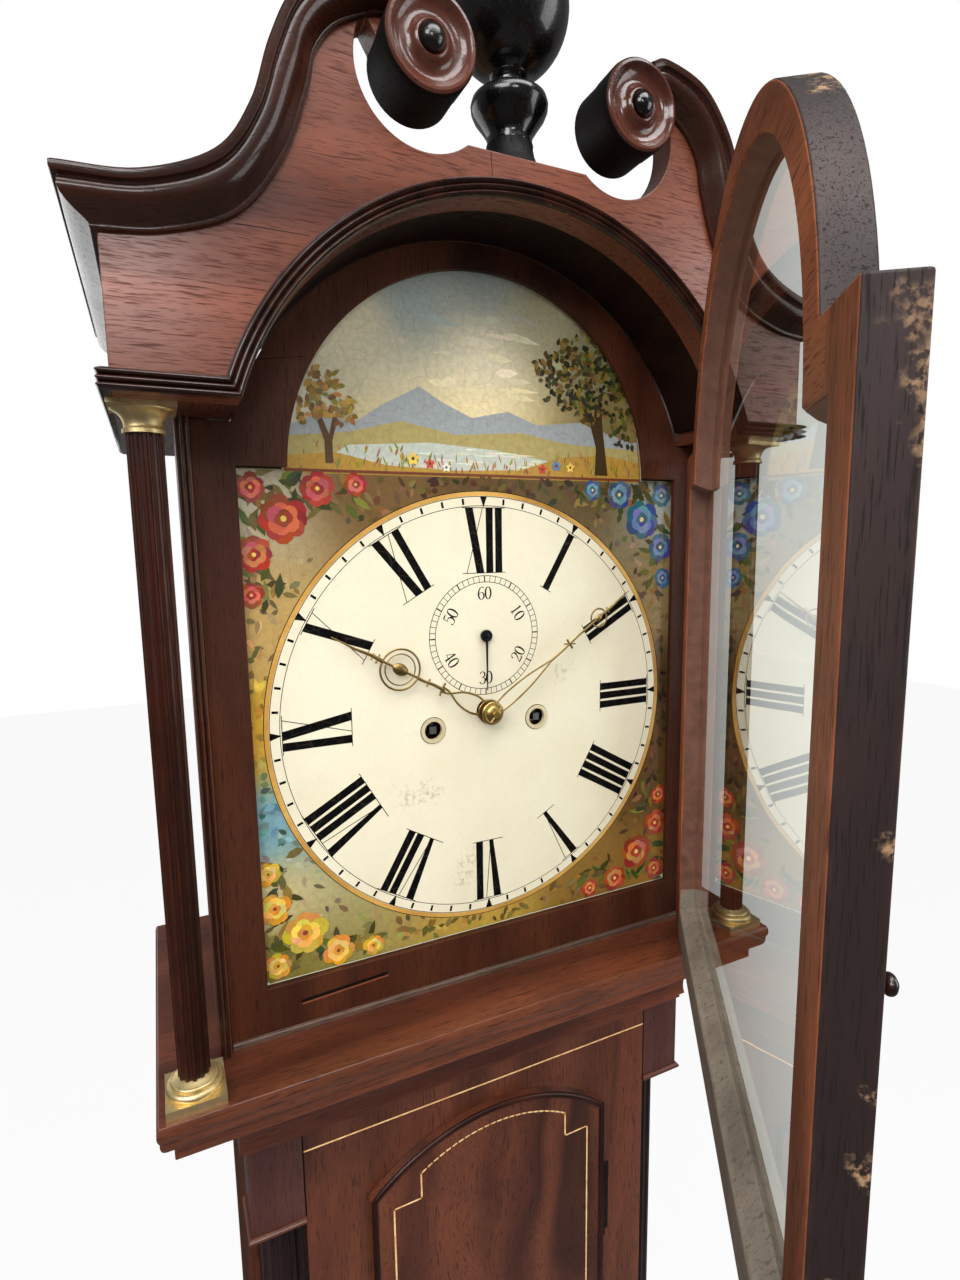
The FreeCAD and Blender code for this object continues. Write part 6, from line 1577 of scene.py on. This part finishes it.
# Hood door: stiles and rails with their own grain, putty round the glass
def makeDoorFrame():
    door = dict(stile=163, railTop=-165, middle=(0, -16, 20))
    piece = cleanCopy("hood_door_frame")
    bm = bmesh.new()
    bm.from_mesh(piece.data)
    side = doorTurn @ Vector((1, 0, 0))
    seams = [onDoor(x, 0, 0) for x in (-door["stile"], door["stile"])]
    for seam in seams:
        geometry = bm.verts[:] + bm.edges[:] + bm.faces[:]
        bmesh.ops.bisect_plane(bm, geom=geometry, plane_co=seam, plane_no=side, dist=1e-6)
    bm.to_mesh(piece.data)
    bm.free()
    left, right = [(seam - doorPin).dot(side) for seam in seams]

    def onRail(face):
        return left < (face.center - doorPin).dot(side) < right

    markGrain(piece.data, lambda mesh: lambda face: side if onRail(face) else axes[2])
    addLooks(piece, "doorEdge", "dustAndSheenWood")
    middle = onDoor(*door["middle"])
    railTop = at(0, 0, door["railTop"]).z
    closed = doorTurn.transposed()
    for face in piece.data.polygons:
        normal = closed @ face.normal
        spoke = closed @ (face.center - middle)
        outward = normal.x * spoke.x + normal.z * spoke.z
        if abs(normal.y) < 0.7 and outward > 0:
            face.material_index = 1
        # inner and upper faces of the bottom rail: grey dust with painted sheen
        elif face.center.z < railTop and normal.y > -0.5 and onRail(face):
            face.material_index = 2
    softEdges(piece, 1.2)
    smoothPiece(piece)


def makePutty():
    # a sloping fillet between the glass and the edge of its rebate, on the inside of the door
    putty = dict(half=163, foot=-172, shoulder=157, radius=136, centre=157, edge=3.9, cover=0.5, back=-9.0,
                 dustAndSheenLevel=-160, uneven=0.35)
    back = putty["back"]
    glass = nodes["hood_door_glass"].data
    pane = max((doorTurn.transposed() @ (vertex.co - doorPin)).y for vertex in glass.vertices) / mm
    pane += (doorPin.y - dialFace) / mm

    def outline(grow):
        half, foot, shoulder = putty["half"] + grow, putty["foot"] - grow, putty["shoulder"] + grow
        radius = putty["radius"] + grow
        start = math.asin((shoulder - putty["centre"]) / radius)
        arch = arcPoints((0, putty["centre"]), radius, start, math.pi - start, 48)
        down = [(-half, shoulder + (foot - shoulder) * i / 40) for i in range(41)]
        across = [(-half + 2 * half * i / 40, foot) for i in range(1, 40)]
        return arch + down + across + [(-x, z) for x, z in reversed(down)]

    chance = random.Random(5)
    bm = bmesh.new()
    rows = []
    for (outerX, outerZ), (innerX, innerZ) in zip(outline(putty["edge"]), outline(-putty["cover"])):
        wave = chance.uniform(-putty["uneven"], putty["uneven"])
        middle = onDoor((outerX + innerX) / 2 + wave, (pane + back) / 2 + 0.8, (outerZ + innerZ) / 2 + wave)
        tip = onDoor(innerX + wave, pane + 0.1, innerZ + wave)
        rows.append([onDoor(outerX, pane, outerZ), onDoor(outerX, back + wave, outerZ), middle, tip])
    bridgeRows(bm, rows, loop=True)
    bmesh.ops.recalc_face_normals(bm, faces=bm.faces)
    piece = finishPiece("puttyFillet", bm, "hood_door", materials["putty"], slotOf["hood_door_frame"])
    smoothPiece(piece, 50)
    markGrain(piece.data, along(0))
    addLooks(piece, "dustAndSheenWood")
    # below this level the putty gets grey dust with painted sheen
    dustAndSheenTop = at(0, 0, putty["dustAndSheenLevel"]).z
    for face in piece.data.polygons:
        face.material_index = 1 if face.center.z < dustAndSheenTop else 0


makeDoorFrame()
makePutty()
print("hood door done")


# Gut lines: the straight runs stay with the case, the loop goes up with the sheave
def makeLine(node, body, sheave):
    low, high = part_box(sheave)
    middle = (low.z + high.z) / 2
    split = (low.x + high.x) / 2
    lower = bmesh.new()
    lower.from_mesh(nodes[node].data)
    bmesh.ops.remove_doubles(lower, verts=lower.verts, dist=0.005 * mm)
    upper = lower.copy()
    for bm, keepUpper in ((upper, True), (lower, False)):
        bmesh.ops.bisect_plane(
            bm, geom=bm.verts[:] + bm.edges[:] + bm.faces[:], plane_co=(0, 0, middle), plane_no=(0, 0, 1),
            clear_inner=keepUpper, clear_outer=not keepUpper,
        )
        bmesh.ops.holes_fill(bm, edges=[edge for edge in bm.edges if edge.is_boundary], sides=0)
        bmesh.ops.recalc_face_normals(bm, faces=bm.faces)
    loop = finishPiece(node + "_loop", lower, body, materials["gut"], "gut")
    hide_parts(node)
    smoothPiece(loop, 50)
    for side, name in ((-1, "_left"), (1, "_right")):
        bm = upper.copy()
        away = [vertex for vertex in bm.verts if (vertex.co.x - split) * side < 0]
        bmesh.ops.delete(bm, geom=away, context="VERTS")
        run = finishPiece(node + name, bm, "case", materials["gut"], "gut")
        smoothPiece(run, 50)
        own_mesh(run)
    upper.free()


makeLine("going_line", "going_weight", "going_sheave")
makeLine("strike_line", "strike_weight", "strike_sheave")
print("lines done")

# Every other piece keeps its built shape, and the winding squares get near-black steel as painted shade inside the
# winding holes, with bare ends
reshaped = {
    "finial", "frieze", "swan_necks", "arch_moulding", "paterae", "hour_hand", "minute_hand", "seconds_hand",
    "hood_door_frame", "going_line", "strike_line",
}
ownLooks = {
    "trunk_door_hinges": "darkBrass",
    "hood_door_pivots": "darkBrass",
    "winding_collets": "colletBrassAndSheen",
}
squareBack = at(0, 12, 0).y
for node in sorted(set(nodes) - set(woodPieces) - reshaped):
    piece = cleanCopy(node)
    if node in ownLooks:
        piece.data.materials[0] = materials[ownLooks[node]]
    # the squares' sides in near-black steel: painted shade inside the winding holes
    if node in ("going_barrel", "strike_barrel"):
        addLooks(piece, "black_steel", "steel")
        for face in piece.data.polygons:
            if face.center.y < squareBack:
                face.material_index = 2 if face.normal.y < -0.9 else 1
print("brass and steel done")


# Camera, light and stage
def setCamera():
    right = Vector((0.905146, -0.424842, -0.014843))
    up = Vector((0.071296, 0.117292, 0.990535))
    forward = Vector((0.419080, 0.897637, -0.136456))
    place = Vector((-0.2135, -0.5131, 1.7107))
    data = bpy.data.cameras.new("photoView")
    data.lens = 19.346
    data.sensor_width = 36
    data.sensor_fit = "AUTO"
    data.clip_start = 0.02
    camera = bpy.data.objects.new("photoView", data)
    rows = [(right[i], up[i], -forward[i], place[i]) for i in range(3)]
    camera.matrix_world = Matrix(rows + [(0, 0, 0, 1)])
    bpy.context.scene.collection.objects.link(camera)
    bpy.context.scene.camera = camera


def softbox(name, place, aim, width, height, power):
    data = bpy.data.lights.new(name, "AREA")
    data.shape = "RECTANGLE"
    data.size = width
    data.size_y = height
    data.energy = power
    lamp = bpy.data.objects.new(name, data)
    lamp.location = place
    lamp.rotation_euler = (Vector(aim) - Vector(place)).to_track_quat("-Z", "Y").to_euler()
    bpy.context.scene.collection.objects.link(lamp)


def setWorld():
    world = bpy.data.worlds.new("studio")
    world.use_nodes = True
    tree = world.node_tree
    rays = add(tree, "ShaderNodeLightPath").outputs
    seen = calc(tree, "MAXIMUM", rays["Is Camera Ray"], rays["Is Transmission Ray"])
    strength = between(tree, rays["Is Glossy Ray"], 0, 1, 0.4, 0.15)
    strength = calc(tree, "MAXIMUM", strength, seen)
    feed(tree, tree.nodes["Background"].inputs, {"Color": (1, 1, 1, 1), "Strength": strength})
    bpy.context.scene.world = world


def setStage():
    bm = bmesh.new()
    bmesh.ops.create_grid(bm, x_segments=2, y_segments=2, size=8)
    for vertex in bm.verts:
        vertex.co.z = cadBounds[0][2] - 0.0005
    mesh = bpy.data.meshes.new("paleFloor")
    bm.to_mesh(mesh)
    bm.free()
    material, tree, shader = newMaterial("paleFloor")
    rays = add(tree, "ShaderNodeLightPath").outputs
    tone = noise(tree, objectPoint(tree), 3, 3)
    pale = mixed(tree, tone, (0.78, 0.78, 0.78, 1), (0.84, 0.84, 0.84, 1))
    color = mixed(tree, rays["Is Glossy Ray"], pale, (0.16, 0.15, 0.15, 1))
    feed(tree, shader, {"Base Color": color, "Roughness": 0.8})
    white = add(tree, "ShaderNodeEmission", {"Color": (1, 1, 1, 1), "Strength": 1.0}).outputs[0]
    surface = tree.nodes["Principled BSDF"].outputs[0]
    share = times(tree, rays["Is Camera Ray"], 0.92)
    joined = add(tree, "ShaderNodeMixShader", {0: share, 1: surface, 2: white}).outputs[0]
    feed(tree, tree.nodes["Material Output"].inputs, {"Surface": joined})
    mesh.materials.append(material)
    floor = bpy.data.objects.new("paleFloor", mesh)
    bpy.context.scene.collection.objects.link(floor)


setCamera()
setWorld()
setStage()
lamps = {
    "keyLeft": dict(place=(-1.5, -1.5, 2.9), aim=(0, 0, 1.7), width=1.4, height=1.0, power=42),
    "topLight": dict(place=(0.1, -0.9, 3.1), aim=(0, 0, 1.6), width=1.6, height=0.8, power=26),
    "fillRight": dict(place=(1.7, -1.3, 1.9), aim=(0.1, -0.1, 1.5), width=1.0, height=1.6, power=16),
    "frontGlare": dict(place=(-0.3, -1.75, 2.4), aim=(-0.15, -0.13, 1.86), width=0.4, height=0.3, power=4),
    "backLeft": dict(place=(-1.25, 2.1, 2.05), aim=(-0.24, -0.1, 1.87), width=1.5, height=1.5, power=9),
}
for name, lamp in lamps.items():
    softbox(name, **lamp)
bpy.context.scene.view_settings.view_transform = "Standard"
